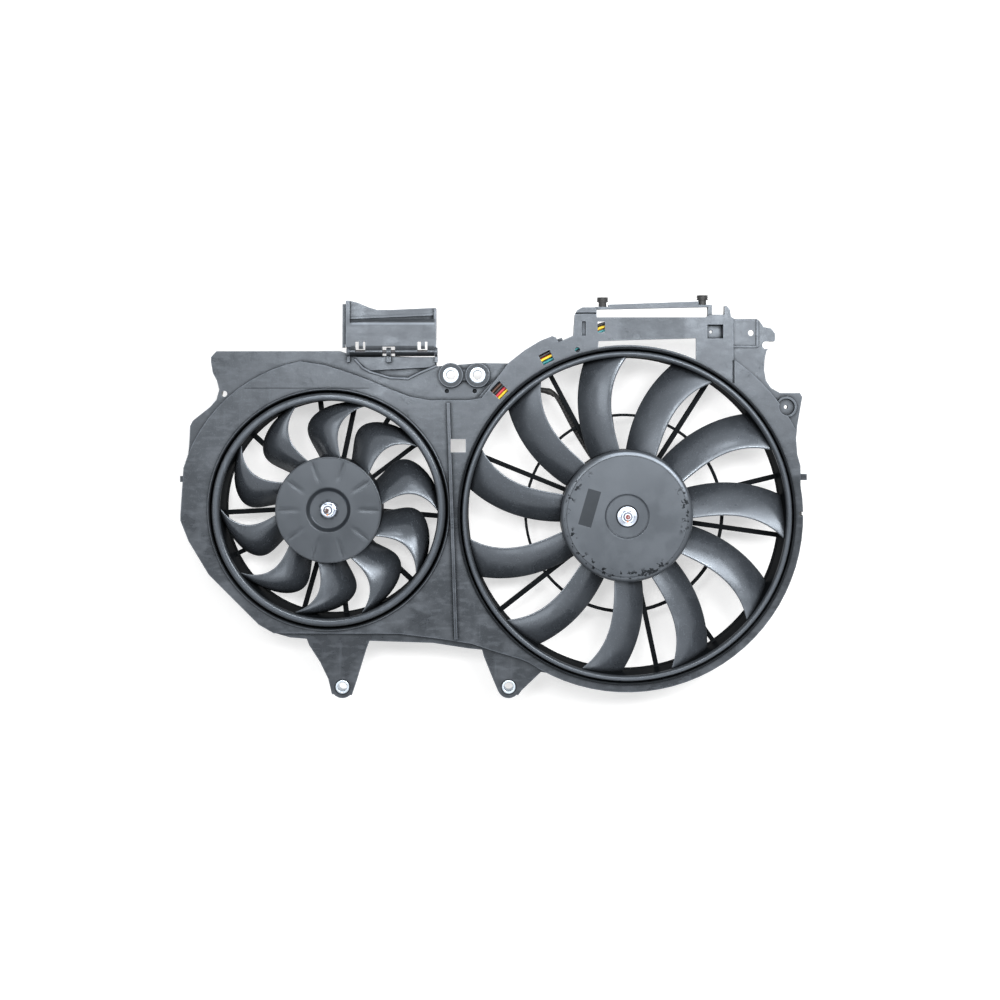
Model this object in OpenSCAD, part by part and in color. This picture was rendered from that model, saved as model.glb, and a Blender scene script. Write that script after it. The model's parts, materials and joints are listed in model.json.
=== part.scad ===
// Twin electric radiator fan: a moulded shroud with two banded impellers and their motors.
// Drawn face on: x to the right, y up the shroud and z out of its front, then stood up.

/* [Shroud] */
// Wall thickness of the moulding
wall = 3; // [2.5:0.25:3.5]
// Height of the raised face over the rim plate
face_h = 12; // [10:0.5:14]
// Depth of the stiffening edge behind the rim plate
edge_d = 9; // [6:0.5:12]
// Width of the rib that divides the two fans
divider_w = 3.4; // [2.5:0.1:5]
// Height of the dividing rib over the face
divider_h = 4; // [2:0.5:6]
// Height of the ridge round each opening
ridge_h = 2.5; // [1.5:0.25:3.5]
// Width of the ridge round each opening
ridge_w = 2.6; // [2:0.1:3.5]

/* [Mounting feet and bosses] */
// Distance between the two lower mounting bores
foot_pitch = 183; // [176:1:190]
// Bore of every mounting sleeve
sleeve_bore = 9.9; // [8.5:0.1:10.5]
// Outer diameter of the lower sleeves
foot_sleeve_d = 15.4; // [14:0.2:17]
// Length of the lower sleeves
foot_sleeve_l = 16; // [12:1:20]
// Outer diameter of the upper sleeves
top_sleeve_d = 17.6; // [16:0.2:19]
// Length of the upper sleeves
top_sleeve_l = 18; // [14:1:22]
// Distance between the two upper mounting bores
top_pitch = 29.4; // [27:0.2:31]
// Wall round every sleeve
boss_wall = 4.6; // [4:0.2:6]
// Height of the upper sleeve pair over the origin
top_pair_z = 343; // [341:0.5:345]
// Middle of the upper sleeve pair, to the right of the origin
top_pair_x = 42.7; // [41:0.5:45]

/* [Small fan] */
// Inner radius of the small impeller's band
small_band_r = 118.8; // [117:0.2:120]
// Width of the lip that the small impeller's band rolls out to
small_lip_w = 8.8; // [7:0.2:10]
// Running gap round the small impeller's lip
small_gap = 2.4; // [1.8:0.1:3]
// Radius of the small impeller's hub
small_hub_r = 58; // [56:0.5:60]
// Blades on the small impeller
small_blades = 10; // [8:1:11]
// Radius of the small motor's can
small_can_r = 36; // [34:0.5:38]
// Length of the small motor's can
small_can_l = 52; // [48:1:58]
// Depth of the small impeller's band behind the rim plate
small_band_d = 24; // [20:1:28]

/* [Large fan] */
// Inner radius of the large impeller's band
large_band_r = 173.8; // [172:0.2:175]
// Width of the lip that the large impeller's band rolls out to
large_lip_w = 6.4; // [5.6:0.2:8]
// Running gap round the large impeller's lip
large_gap = 1.8; // [1.4:0.1:2.4]
// Radius of the large impeller's hub
large_hub_r = 72.6; // [70:0.2:75]
// Blades on the large impeller
large_blades = 11; // [9:1:12]
// Radius of the large motor's can
large_can_r = 44; // [42:0.5:46]
// Length of the large motor's can
large_can_l = 60; // [54:1:66]
// Depth of the large impeller's band behind the rim plate
large_band_d = 20; // [16:1:24]

/* [Impellers] */
// Height of the impellers' lips over the rim plate
lip_h = 16; // [14:0.5:18]
// Height of the hub faces over the rim plate
hub_h = 17; // [15:0.5:19]
// Wall of the hubs
hub_wall = 3; // [2.5:0.1:4]
// Wall of the bands
band_wall = 2.2; // [1.8:0.1:2.6]
// Thickness of the blades at their middle
blade_t = 3; // [2.4:0.1:3.6]
// Depth of the hubs behind the rim plate
hub_d = 16; // [12:1:18]

/* [Motors] */
// Sheet thickness of the motor cans
can_t = 2; // [1.5:0.1:2.5]
// Diameter of both motor shafts
shaft_d = 8; // [7:0.1:9]
// Outer diameter of the bearings
bearing_d = 22; // [20:0.5:24]
// Width of the bearings
bearing_w = 7; // [6:0.5:8]
// Radial thickness of the magnets
magnet_t = 5.5; // [4:0.25:6.5]
// Air gap between magnets and core
air_gap = 0.8; // [0.6:0.1:1.2]
// Diameter of the screws that hold the motors
screw_d = 5; // [4:0.1:5.5]
// Depth of the struts that carry the motors
strut_d = 10; // [8:0.5:13]
// Thickness of the struts
strut_t = 5; // [3.5:0.25:6.5]
// Running distance from each band to the ring behind it
behind_gap = 3.5; // [2.5:0.5:5]
// Width of the shroud between the two openings
web_w = 13.5; // [12:0.5:16]

/* [Flap] */
// Diameter of the flap's hinge barrel
barrel_d = 9.6; // [8.5:0.2:10.5]
// Diameter of the flap's hinge pin
flap_pin_d = 4; // [3:0.1:5]
// Thickness of the flap's panel
flap_t = 2.5; // [2:0.1:3.2]
// Height of the flap's panel over its hinge
flap_top = 47; // [42:1:52]

/* [Wiring] */
// Diameter of the wires in the channel
wire_d = 2.9; // [2.4:0.1:3]
// Diameter of the motor leads
lead_d = 5; // [4:0.25:6]

/* [Hidden] */
$fn = 96;
cut = 0.5;
slip = 0.05;
seat = 0.3;
small_lip_r = small_band_r + small_lip_w;
small_hole_r = small_lip_r + small_gap;
large_lip_r = large_band_r + large_lip_w;
large_hole_r = large_lip_r + large_gap;
small_at = [-105, 196];
large_at = [small_at[0] + small_hole_r + web_w + large_hole_r, 189];
rim_back = -wall - edge_d;
bore_r = sleeve_bore / 2;
foot_boss_r = foot_sleeve_d / 2 + boss_wall;
top_boss_r = top_sleeve_d / 2 + boss_wall;
top_sleeve_front = 8;
shaft_r = shaft_d / 2;
small_rear = -small_band_d - behind_gap;
large_rear = -large_band_d - behind_gap;
small_struts = [37, 58, 78, 97, 138, 183, 206, 254, 277, 317, 355];
large_struts = [13.75, 57.5, 118, 158, 218, 236, 282, 305, 352];
inner_struts = [98];
ring_gap = 1;
ring_w = 9;
boss_step = 0.5;
screw_out = 6.5;
ear_t = 2.5;
ear_half = 8;
dish_r = 23;
dish_d = 4;
large_dish_d = 1.2;
nut_h = 6;
flange_r = 9.5;
flange_t = 2;
thread_r = shaft_r + slip;
mid_ring_r = 110;
mid_ring_t = 3;
small_can_front = 0;
large_can_front = 2;
pin_x0 = -86;
pin_x1 = 13.5;
pin_foot_z = 357;
pin_z = 368.5;
pin_w = 5;
barrel_x0 = -82.5;
barrel_x1 = 10;
knuckle_x0 = -42.5;
knuckle_x1 = -37.5;
notch_x0 = -47;
notch_x1 = -33;
seat_w = -5;
seat_lip = 1.5;
recess = 2;
channel_in = large_hole_r + 5.6;
channel_out = channel_in + 16.9;
channel_a0 = 110;
channel_a1 = 153;
panel_hole = [358, 389.5];
panel_hole_r = 3.3;
edge_hole = [-221.5, 322.5];
corner_boss = [396, 308];
side_hole = [411, 191.5];
notch = [374.5, 376];
notch_r = 4.2;
dimple_x = [23.5, 54];
dimple_z = 325.5;
channel_hole = [166.5, 370.5];
screw_pocket = [308.5, 383, 17, 15];
face_window = [28, 258.5, 16.5, 14.5];
wire_gap = [188.5, 389.5, 8, 12];
through_0 = -30;
through_1 = 20;
buffer_posts = [[194.2, 417.5], [303.4, 419.8]];
buffer_h = 10.4;
buffer_r = 6.2;
buffer_neck_r = 4.4;
post_r = 2.4;
post_h = 6;
rail_w = 6.5;
hub_boss_l = 9;
hub_rib_h = 7;
slot_r = 3;
slot_in = 4.6;
core_slots = 12;
boss_rim = 2.2;
cap_t = 3;
core_room = 16;
magnet_slip = 0.1;
small_can_rear = small_can_front - small_can_l;
large_can_rear = large_can_front - large_can_l;
commutator_r = 10;
small_lead_a = 37;
large_lead_a = 118;
outlet_h = 7;
wire_w = face_h - wall - wire_d / 2 - seat;
wire_back_w = wire_w - 4.25;
plug_x = 199;
boot_a0 = 146;
boot_a1 = 152.5;
boot_exit_a = 149.3;
floor_a1 = 147.4;
back = [0, 0, -1];

steel = [0.62, 0.63, 0.65];
zinc = [0.8, 0.82, 0.85];
black = [0.1, 0.1, 0.11];
ferrite = [0.2, 0.2, 0.2];
core_grey = [0.4, 0.4, 0.42];
enamel = [0.7, 0.4, 0.2];
bronze = [0.75, 0.45, 0.25];
card = [0.3, 0.2, 0.1];
fan_grey = [0.16, 0.17, 0.19];

// Helpers: arcs, inset outlines, slabs between two depths.
function arc(c, r, a0, a1, n) = [for (i = [0:n]) let (a = a0 + (a1 - a0) * i / n) c + r * [cos(a), sin(a)]];
function unit(v) = v / norm(v);
function left_of(a, b) = let (e = unit(b - a)) [-e[1], e[0]];
function inset(p, d) = [for (i = [0:len(p) - 1])
    let (b = p[i], m = left_of(p[(i + len(p) - 1) % len(p)], b), n = left_of(b, p[(i + 1) % len(p)]))
    b + (m + n) * d / (1 + m * n)];
function polar(c, r, a, w) = [c[0] + r * cos(a), c[1] + r * sin(a), w];
function reversed(p) = [for (i = [len(p) - 1:-1:0]) p[i]];
function beside(p, d) = [for (i = [0:len(p) - 1])
    p[i] - d * left_of(p[max(i - 1, 0)], p[min(i + 1, len(p) - 1)])];
function mix(a, b, t) = a + (b - a) * t;

module stand() { rotate([90, 0, 0]) children(); }
module slab(w0, w1) { translate([0, 0, w0]) linear_extrude(w1 - w0) children(); }
module hole(p, r, w0, w1) { translate([p[0], p[1], w0]) cylinder(r = r, h = w1 - w0); }
module ring(r0, r1, w0, w1) {
    difference() {
        translate([0, 0, w0]) cylinder(r = r1, h = w1 - w0);
        translate([0, 0, w0 - cut]) cylinder(r = r0, h = w1 - w0 + 2 * cut);
    }
}
module at(c) { translate([c[0], c[1], 0]) children(); }
module on_small() { stand() at(small_at) children(); }
module on_large() { stand() at(large_at) children(); }
module rod_x(x0, x1, r, w) { translate([x0, pin_z, w]) rotate([0, 90, 0]) cylinder(r = r, h = x1 - x0); }
module rod_up(x, z, w, r, h) { translate([x, z, w]) rotate([-90, 0, 0]) cylinder(r = r, h = h); }
module around(n, r, a0 = 0) { for (i = [0:n - 1]) rotate(a0 + 360 * i / n) translate([r, 0, 0]) children(); }

// Outlines, counter-clockwise.
foot_l = [-foot_pitch / 2, 0];
foot_r = [foot_pitch / 2, 0];
top_l = [top_pair_x - top_pitch / 2, top_pair_z];
top_r = [top_pair_x + top_pitch / 2, top_pair_z];
pocket = [[12, 353], [-6, 345.5], [-19, 339], [-39, 340], [-61, 346.5], [-69, 351], [-76, 358.5], [-83, 366]];
rim_left = [[-94, 369.5], [-230, 369.5], [-236, 363], [-236, 357], [-234, 345.5], [-229.5, 337], [-227, 327],
    [-230, 316], [-237, 308], [-256, 293], [-259, 287], [-260, 266], [-264, 232], [-268, 192], [-268, 184],
    [-259, 161], [-237, 124], [-182, 69.5], [-168, 60], [-149, 54.5], [-131, 53]];
rim_low = [[8, 48.5], [47, 42.5], [62, 41], [66, 36], [134, 18.5]];
rim_right = [[410, 245], [407, 256], [407.5, 271], [409, 288], [414.5, 319], [412, 323.5], [390, 323.5],
    [380, 329], [374.5, 337], [372.5, 348], [373, 360], [375, 369.5], [384.5, 381.5], [384.5, 389],
    [380, 394.5], [372, 396], [368, 402], [364, 405], [335, 405], [330, 360]];
rim_top = [[150, 330], [100, 340], [91, 356], [60, 356.5], [16, 353]];
rim_pts = concat(rim_left, rim_low, arc(large_at, large_hole_r + 11.5, 244.5, 370, 30), rim_right, rim_top,
    pocket);
face_left = arc(small_at, small_hole_r + 35, 101, 164, 12);
face_low = [[-267, 190], [-267, 184], [-258, 161.5], [-236, 125], [-181.5, 70.5], [-165, 61], [-28, 60.5],
    [16, 55], [51, 49.5], [78.5, 40.5], [104, 33]];
face_right = [[410, 244], [406.5, 256], [405, 276]];
face_bracket = [[337, 359], [337, 405], [330, 409], [311, 409], [307, 406], [187.5, 406], [187.5, 417],
    [172, 417], [166.5, 414], [163.5, 409], [162, 386], [146, 379], [143, 384], [139, 385.5], [126, 380.5],
    [109.5, 370.5], [98.5, 362], [91, 356], [62, 318], [48, 315.5]];
face_top = [[5, 315.5], [-17, 319.5], [-39, 328], [-61, 337.5], [-83, 345.5], [-110, 354]];
face_pts = concat(face_left, face_low, arc(large_at, large_hole_r + 10.5, 236, 370, 30), face_right,
    arc(large_at, large_hole_r + 25, 27, 55, 8), face_bracket, face_top);
foot_left_pts = [[-134, 62], [-128, 46], [-116, 27.5], [-107, 9], [-103, -8], [-81, -9], [-76, 6], [-65, 42],
    [-58, 60]];
foot_right_pts = [[60, 50], [64, 34], [72, 14], [80, -5], [102, -9], [106, -3.5], [127, 16.5], [150, 13],
    [140, 40]];
function window(r, a0, a1) = concat(arc(large_at, r, a0, a1, 2), arc(large_at, channel_in + cut, a1, a0, 2));
channel_windows = [window(channel_out - 1.5, 133.4, 137.5), window(channel_out - 4.5, 115, 118.9)];
lip_line = concat([for (i = [0:len(pocket) - 2]) pocket[i]], [[-78, 360.8]]);
slot_low = concat([[296, 383], [240, 381.5], [189.5, 380]], arc(large_at, large_hole_r + 4.8, 99.8, 66.2, 12));

module tab(p0, p1, half, w0, w1) {
    d = p1 - p0;
    translate([p0[0], p0[1], w0]) rotate(atan2(d[1], d[0]))
        translate([0, -half, 0]) cube([norm(d), 2 * half, w1 - w0]);
}

// A foot: its plate, the boss round the sleeve and two ribs up to the rim.
module foot(pts, c, up) {
    slab(-wall, 0) polygon(pts);
    hole(c, foot_boss_r, -foot_sleeve_l + 1, 0);
    for (p = up) tab(c, p, wall / 2, -edge_d - wall, -wall / 2);
}

// The ring that a motor sits in: two walls joined by a web, with three screw bosses.
module motor_ring(can_r, rear) {
    low = rear - strut_d + boss_step;
    rotate_extrude() polygon([[can_r + ring_gap, low], [can_r + ring_gap + wall, low],
        [can_r + ring_gap + wall, rear - wall], [can_r + ring_w, rear - wall], [can_r + ring_w, low],
        [can_r + ring_w + wall, low], [can_r + ring_w + wall, rear], [can_r + ring_gap, rear]]);
    around(3, can_r + screw_out, 30) translate([0, 0, rear - strut_d])
        cylinder(r = screw_d / 2 + boss_rim, h = strut_d - wall / 2);
}

// The wall that an impeller's band runs in: a round ridge in front, a shelf and a skirt behind.
module barrel_wall(hole_r, band_r, rear) {
    rotate_extrude() polygon(concat([[hole_r, rear], [band_r, rear], [band_r, rear - strut_d],
        [band_r + wall, rear - strut_d], [band_r + wall, rear - wall], [hole_r + wall, rear - wall],
        [hole_r + wall, face_h - wall / 2], [hole_r + ridge_w, face_h - wall / 2]],
        arc([hole_r + ridge_w / 2, face_h + ridge_h - ridge_w / 2], ridge_w / 2, 0, 180, 6)));
}

module bridge() {
    slab(2, face_h - 1) polygon([[186, 417.5], [186, 414.5], [200, 414.8], [299, 417], [309, 417.3], [309, 408],
        [313.5, 408], [313.5, 419.8], [299, 419.8], [299, 423.5], [200.5, 420], [200.5, 417.5]]);
    slab(2, face_h) polygon([[329.5, 408], [334, 407], [333, 414], [330, 418], [327, 418.5], [327, 408]]);
    for (p = buffer_posts) rod_up(p[0], p[1] - 1, rail_w, post_r, post_h + 1);
}

// Part of a ring between two radii, two depths and two angles.
module sector(r0, r1, w0, w1, a0, a1) {
    rotate(a0) rotate_extrude(angle = a1 - a0) translate([r0, w0]) square([r1 - r0, w1 - w0]);
}

// Channel for the wires, behind the face outside the large ring: two walls and a floor.
module channel() {
    at(large_at) {
        for (r = [channel_in - wall, channel_out])
            sector(r, r + wall, -wall, face_h - wall + cut, channel_a0, channel_a1);
        sector(channel_in - wall / 2, channel_out + wall / 2, cut - wall, -seat, channel_a0 + cut, floor_a1);
        sector(channel_in - wall, channel_in + wall + 5, -wall, -2 * seat, channel_a0 - 8, channel_a0 + 1);
    }
}

// Pocket for a screw, sunk into the bracket's face.
module screw_pocket_walls() {
    translate([screw_pocket[0] - wall, screw_pocket[1] - wall, 0])
        cube([screw_pocket[2] + 2 * wall, screw_pocket[3] + 2 * wall, face_h - wall + cut]);
}

// Shallow lines and pockets in the front of the bracket and the wire box.
module face_lines() {
    translate([335.8, 334, face_h - recess]) cube([2, 25, recess + cut]);
    translate([171.5, 386, face_h - recess]) cube([4, 15.5, recess + cut]);
    translate([164, 409.6, face_h - recess]) cube([23, 1.6, recess + cut]);
}

// Raised bands that frame the panel beside the bracket.
module panel_bands() {
    translate([363.6, 374.2, -wall / 2]) cube([2.8, 30, wall / 2 + 1]);
    translate([338.5, 373.2, -wall / 2]) cube([26, 2.4, wall / 2 + 0.8]);
}

module flap_seat() {
    low = seat_w - wall;
    slab(-wall, 0) polygon([[-62, 348], [10.5, 352], [12, 363], [-78, 363], [-76, 360]]);
    slab(low, seat_w) polygon(concat(pocket, [[-80, 366], [12, 362]]));
    slab(low + boss_step, -boss_step) polygon(concat(beside(pocket, -1), reversed(beside(pocket, 1.5))));
    slab(-wall / 2, seat_lip) polygon(concat(beside(lip_line, -0.8), reversed(beside(lip_line, 1.2))));
    slab(low + boss_step, -boss_step) polygon([[-62, 348], [10.5, 352], [10.5, 355], [-62, 351]]);
    for (x = [[pin_x0, barrel_x0 - seat], [knuckle_x0, knuckle_x1], [barrel_x1 + seat, pin_x1]])
        translate([x[0], 0, 0]) {
            translate([0, pin_foot_z, -wall]) cube([x[1] - x[0], pin_z - pin_foot_z, pin_w + wall]);
            rod_x(0, x[1] - x[0], barrel_d / 2, pin_w);
        }
}

module shroud_solid() {
    difference() {
        union() {
            slab(rim_back, 0) polygon(rim_pts);
            slab(-cut, face_h) polygon(face_pts);
        }
        slab(rim_back - cut, -wall) polygon(inset(rim_pts, wall));
        slab(-wall - 2 * cut, face_h - wall) polygon(inset(face_pts, wall));
        translate([-93, 330, rim_back - cut]) cube([106, 42, edge_d + cut]);
    }
    foot(foot_left_pts, foot_l, [[-112, 50], [-72, 50]]);
    foot(foot_right_pts, foot_r, [[74, 38], [118, 26]]);
    for (c = [top_l, top_r]) hole(c, top_boss_r, top_sleeve_front - top_sleeve_l + 1, top_sleeve_front - 0.5);
    tab(top_l, top_r, 6, -wall, top_sleeve_front - 3);
    tab([25.5, 312.5], [34, 55], divider_w / 2, face_h - 1, face_h + divider_h);
    hole(corner_boss, 11.5, -wall, 5);
    for (x = dimple_x) hole([x, dimple_z], 4.4, -8, -wall / 2);
    translate([-270, 225.5, -wall]) cube([8, 6.5, wall]);
    translate([408, 227.5, -wall]) cube([11.5, 7, wall]);
    bridge();
    channel();
    screw_pocket_walls();
    panel_bands();
    flap_seat();
}

// Everything cut out of the shroud besides the two openings.
module shroud_cuts() {
    for (c = [foot_l, foot_r]) hole(c, foot_sleeve_d / 2 + slip, through_0, through_1);
    for (c = [top_l, top_r]) hole(c, top_sleeve_d / 2 + slip, through_0, through_1);
    hole(edge_hole, panel_hole_r, through_0, through_1);
    hole(panel_hole, panel_hole_r, through_0, through_1);
    hole(side_hole, 2.6, through_0, through_1);
    hole(notch, notch_r, through_0, through_1);
    slab(through_0, through_1) translate([notch[0], notch[1] - notch_r + slip]) square([20, 2 * (notch_r - slip)]);
    hole(corner_boss, 2.2, through_0, through_1);
    hole(corner_boss, 9.2, 2, through_1);
    hole(channel_hole, 2.8, face_h - wall - cut, through_1);
    for (x = dimple_x) hole([x, dimple_z], 2.4, -6, through_1);
    for (w = channel_windows) slab(face_h - wall - cut, through_1) polygon(w);
    slab(through_0, through_1) polygon(slot_low);
    for (b = [face_window, wire_gap])
        translate([b[0], b[1], through_0]) cube([b[2], b[3], through_1 - through_0]);
    translate([screw_pocket[0], screw_pocket[1], wall]) cube([screw_pocket[2], screw_pocket[3], through_1]);
    hole([313.5, 390.5], 1.7, through_0, through_1);
    rod_x(pin_x0 - cut, pin_x1 + cut, flap_pin_d / 2 + slip, pin_w);
    face_lines();
}

module shroud() {
    color([0.23, 0.24, 0.26]) stand() {
        difference() {
            shroud_solid();
            hole(small_at, small_hole_r + wall / 2, through_0, through_1);
            hole(large_at, large_hole_r + wall / 2, through_0, through_1);
            shroud_cuts();
        }
        at(small_at) barrel_wall(small_hole_r, small_band_r, small_rear);
        at(large_at) barrel_wall(large_hole_r, large_band_r, large_rear);
        at(small_at) struts(small_can_r, small_band_r, small_rear, small_struts);
        at(large_at) struts(large_can_r, large_band_r, large_rear, large_struts);
        at(large_at) spokes(large_can_r + ring_w + wall / 2, mid_ring_r, large_rear, inner_struts);
        at(large_at) ring(mid_ring_r - mid_ring_t / 2, mid_ring_r + mid_ring_t / 2,
            large_rear - strut_d + 3 * boss_step, large_rear - 4 * boss_step);
    }
}

// Struts from one radius out to another.
module spokes(r0, r1, rear, angles) {
    for (a = angles) rotate(a) translate([r0, -strut_t / 2, rear - strut_d + 2 * boss_step])
        cube([r1 - r0, strut_t, strut_d - 3 * boss_step]);
}

// The motor ring and the struts that carry it.
module struts(can_r, band_r, rear, angles) {
    difference() {
        union() {
            motor_ring(can_r, rear);
            spokes(can_r + ring_w + wall / 2, band_r + wall / 2, rear, angles);
        }
        around(3, can_r + screw_out, 30) translate([0, 0, rear - strut_d - cut])
            cylinder(r = screw_d / 2 + slip, h = strut_d + 2 * cut);
    }
}

// One blade: sections from the hub to the band, each from its leading edge to its trailing edge.
function small_front_a(t) = 4.8 + 31 * t - 37.4 * t * t;
function small_back_a(t) = 31.8 + 13 * t - 38 * pow(t, 4);
function large_front_a(t) = -2.6 + 15 * t - 21 * t * t;
function large_back_a(t) = 23.5 - 11 * t - 5.5 * t * t;
function blade_xyz(t, s, r0, r1, lead, trail, w0, w1, drop, bend) =
    let (r = mix(r0, r1, t), a = mix(lead, trail, s))
    [r * cos(a), r * sin(a), mix(w0, w1, t) - drop * pow(s, bend)];
module blade(r0, r1, n, m, angles, w0, w1, drop, bend) {
    q = [for (i = [0:n]) let (t = i / n, l = angles(t)[0], e = angles(t)[1]) for (j = [0:m]) let (s = j / m)
        blade_xyz(t, s, r0, r1, l, e, w0, w1, drop, bend)];
    nrm = [for (i = [0:n]) for (j = [0:m]) let (k = i * (m + 1) + j,
        du = q[j < m ? k + 1 : k] - q[j > 0 ? k - 1 : k],
        dv = q[i < n ? k + m + 1 : k] - q[i > 0 ? k - m - 1 : k])
        unit(cross(dv, du))];
    half = [for (j = [0:m]) blade_t / 2 * (0.4 + 0.6 * sin(180 * pow(j / m, 0.8)))];
    sz = (n + 1) * (m + 1);
    pts = concat([for (k = [0:sz - 1]) q[k] + nrm[k] * half[k % (m + 1)]],
        [for (k = [0:sz - 1]) q[k] - nrm[k] * half[k % (m + 1)]]);
    cell = [for (i = [0:n - 1]) for (j = [0:m - 1]) i * (m + 1) + j];
    edge = concat([for (j = [0:m]) j], [for (i = [1:n]) i * (m + 1) + m],
        [for (j = [m - 1:-1:0]) n * (m + 1) + j], [for (i = [n - 1:-1:1]) i * (m + 1)]);
    polyhedron(pts, concat([for (k = cell) [k, k + 1, k + m + 2]], [for (k = cell) [k, k + m + 2, k + m + 1]],
        [for (k = cell) [k + sz, k + sz + m + 2, k + sz + 1]],
        [for (k = cell) [k + sz, k + sz + m + 1, k + sz + m + 2]],
        [for (i = [0:len(edge) - 1]) let (a = edge[i], b = edge[(i + 1) % len(edge)]) [b, a, a + sz]],
        [for (i = [0:len(edge) - 1]) let (a = edge[i], b = edge[(i + 1) % len(edge)]) [b, a + sz, b + sz]]));
}

// Hub cup, band with its rolled lip, and inner ribs of one impeller.
module hub(r, fillet, dish_r, dish_d, ribs) {
    inner = max(fillet, hub_wall + cut);
    dish = hub_h - dish_d;
    back_h = hub_h - hub_wall;
    rotate_extrude() polygon(concat([[thread_r, dish - hub_boss_l], [thread_r + 6, dish - hub_boss_l],
        [thread_r + 7, dish - hub_wall], [dish_r + 1, dish - hub_wall], [dish_r + 4, back_h],
        [r - inner, back_h], [r - hub_wall, hub_h - inner], [r - hub_wall, -hub_d], [r, -hub_d]],
        arc([r - fillet, hub_h - fillet], fillet, 0, 90, 5),
        [[dish_r + 2, hub_h], [dish_r, dish], [thread_r, dish]]));
    around(ribs, 0) translate([dish_r + 4, -wall / 4, back_h - hub_rib_h])
        cube([r - dish_r - 6, wall / 2, hub_rib_h + cut]);
}
module band(inner, lip, rear) {
    b = inner + band_wall;
    rotate_extrude() polygon(concat([[inner, rear], [b, rear], [b, lip_h - 7], [lip - 1, lip_h - 6]],
        arc([lip - 2, lip_h - 3], 2, -20, 60, 3), arc([inner + 4, lip_h - 4], 4, 90, 180, 5)));
}
module small_impeller() {
    color(fan_grey) on_small() {
        hub(small_hub_r, 1.2, dish_r, dish_d, 10);
        band(small_band_r, small_lip_r, -small_band_d);
        around(small_blades, 0) blade(small_hub_r - 1.5, small_band_r + 1, 7, 5,
            function(t) [small_front_a(t), small_back_a(t)], hub_h - 9, lip_h - 5.5, small_band_d + 5, 1.5);
    }
}
module large_impeller() {
    color(fan_grey) on_large() {
        hub(large_hub_r, 6.5, dish_r, large_dish_d, 11);
        band(large_band_r, large_lip_r, -large_band_d);
        around(large_blades, 0) blade(large_hub_r - 1.5, large_band_r + 1, 7, 5,
            function(t) [large_front_a(t), large_back_a(t)], hub_h - 12, lip_h - 6, large_band_d + 3, 1.3);
    }
}

// Sleeves pressed into the feet and the upper pair.
module sleeve(c, d, l, front) { at(c) ring(bore_r, d / 2, front - l, front); }
module lower_sleeves() {
    color([0.8, 0.8, 0.82]) stand() for (c = [foot_l, foot_r]) sleeve(c, foot_sleeve_d, foot_sleeve_l, 0);
}
module upper_sleeves() {
    color([0.8, 0.8, 0.82]) stand()
        for (c = [top_l, top_r]) sleeve(c, top_sleeve_d, top_sleeve_l, top_sleeve_front);
}

// Rubber buffers pushed onto the posts of the rail: a ribbed head over a narrower neck.
module rubber_buffers() {
    color([0.05, 0.05, 0.05]) stand() for (p = buffer_posts) translate([p[0], p[1], rail_w]) rotate([-90, 0, 0])
        difference() {
            union() {
                cylinder(r = buffer_neck_r, h = buffer_h - 1);
                translate([0, 0, buffer_h - 5]) cylinder(r = buffer_r - 0.8, h = 4.5);
                for (k = [0:2]) translate([0, 0, buffer_h - 5 + 1.9 * k]) cylinder(r = buffer_r, h = 1.2);
            }
            translate([0, 0, -cut]) cylinder(r = post_r + slip, h = post_h + seat + cut);
        }
}

// The motors. f is the depth of a can's front and e that of its rear edge.
module can(r, f, e, ears) {
    b = bearing_d / 2;
    rotate_extrude() polygon([[shaft_r + 2, f], [r - 3, f], [r, f - 3], [r, e], [r - can_t, e],
        [r - can_t, f - can_t], [b + can_t, f - can_t], [b + can_t, f - can_t - bearing_w],
        [b + slip, f - can_t - bearing_w], [b + slip, f - can_t], [shaft_r + 2, f - can_t]]);
    difference() {
        around(3, 0, 30) {
            translate([0, -ear_half, ears]) cube([r + screw_out, 2 * ear_half, ear_t]);
            translate([r + screw_out, 0, ears]) cylinder(r = ear_half, h = ear_t);
        }
        translate([0, 0, ears - cut]) cylinder(r = r - can_t / 2, h = ear_t + 2 * cut);
        around(3, r + screw_out, 30) translate([0, 0, ears - cut])
            cylinder(r = screw_d / 2 + slip, h = ear_t + 2 * cut);
    }
}
module end_cap(r, e, a) {
    b = bearing_d / 2;
    in = r - can_t - magnet_slip;
    rotate_extrude() polygon([[0, e - bearing_w], [b + can_t, e - bearing_w], [b + can_t, e - cap_t],
        [r, e - cap_t],
        [r, e], [in, e], [in, e + 4], [in - 3, e + 4], [in - 3, e], [b + can_t, e], [b + can_t, e + 2],
        [b + slip, e + 2], [b + slip, e + 2 - bearing_w], [0, e + 2 - bearing_w]]);
    difference() {
        rotate(a) translate([r - 12, -6, e - cap_t - outlet_h]) cube([14, 12, outlet_h + cut]);
        rotate(a) translate([r - 8, 0, e - cap_t - outlet_h / 2]) rotate([0, 90, 0])
            cylinder(r = lead_d / 2 + slip, h = 20);
    }
}
module magnets(r, f, e) {
    o = r - can_t - magnet_slip;
    for (k = [0:3]) rotate(90 * k + 7) rotate_extrude(angle = 76)
        translate([o - magnet_t, e + core_room - 1]) square([magnet_t, f - e - 2 * core_room + 2]);
}
function core_r(r) = r - can_t - magnet_slip - magnet_t - air_gap;
module core(r, f, e) {
    c = core_r(r);
    translate([0, 0, e + core_room]) difference() {
        cylinder(r = c, h = f - e - 2 * core_room);
        translate([0, 0, -cut]) cylinder(r = shaft_r + slip, h = 100);
        around(core_slots, c - slot_in) {
            translate([0, 0, -cut]) cylinder(r = slot_r, h = 100);
            translate([0, -0.9, -cut]) cube([10, 1.8, 100]);
        }
    }
}
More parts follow.
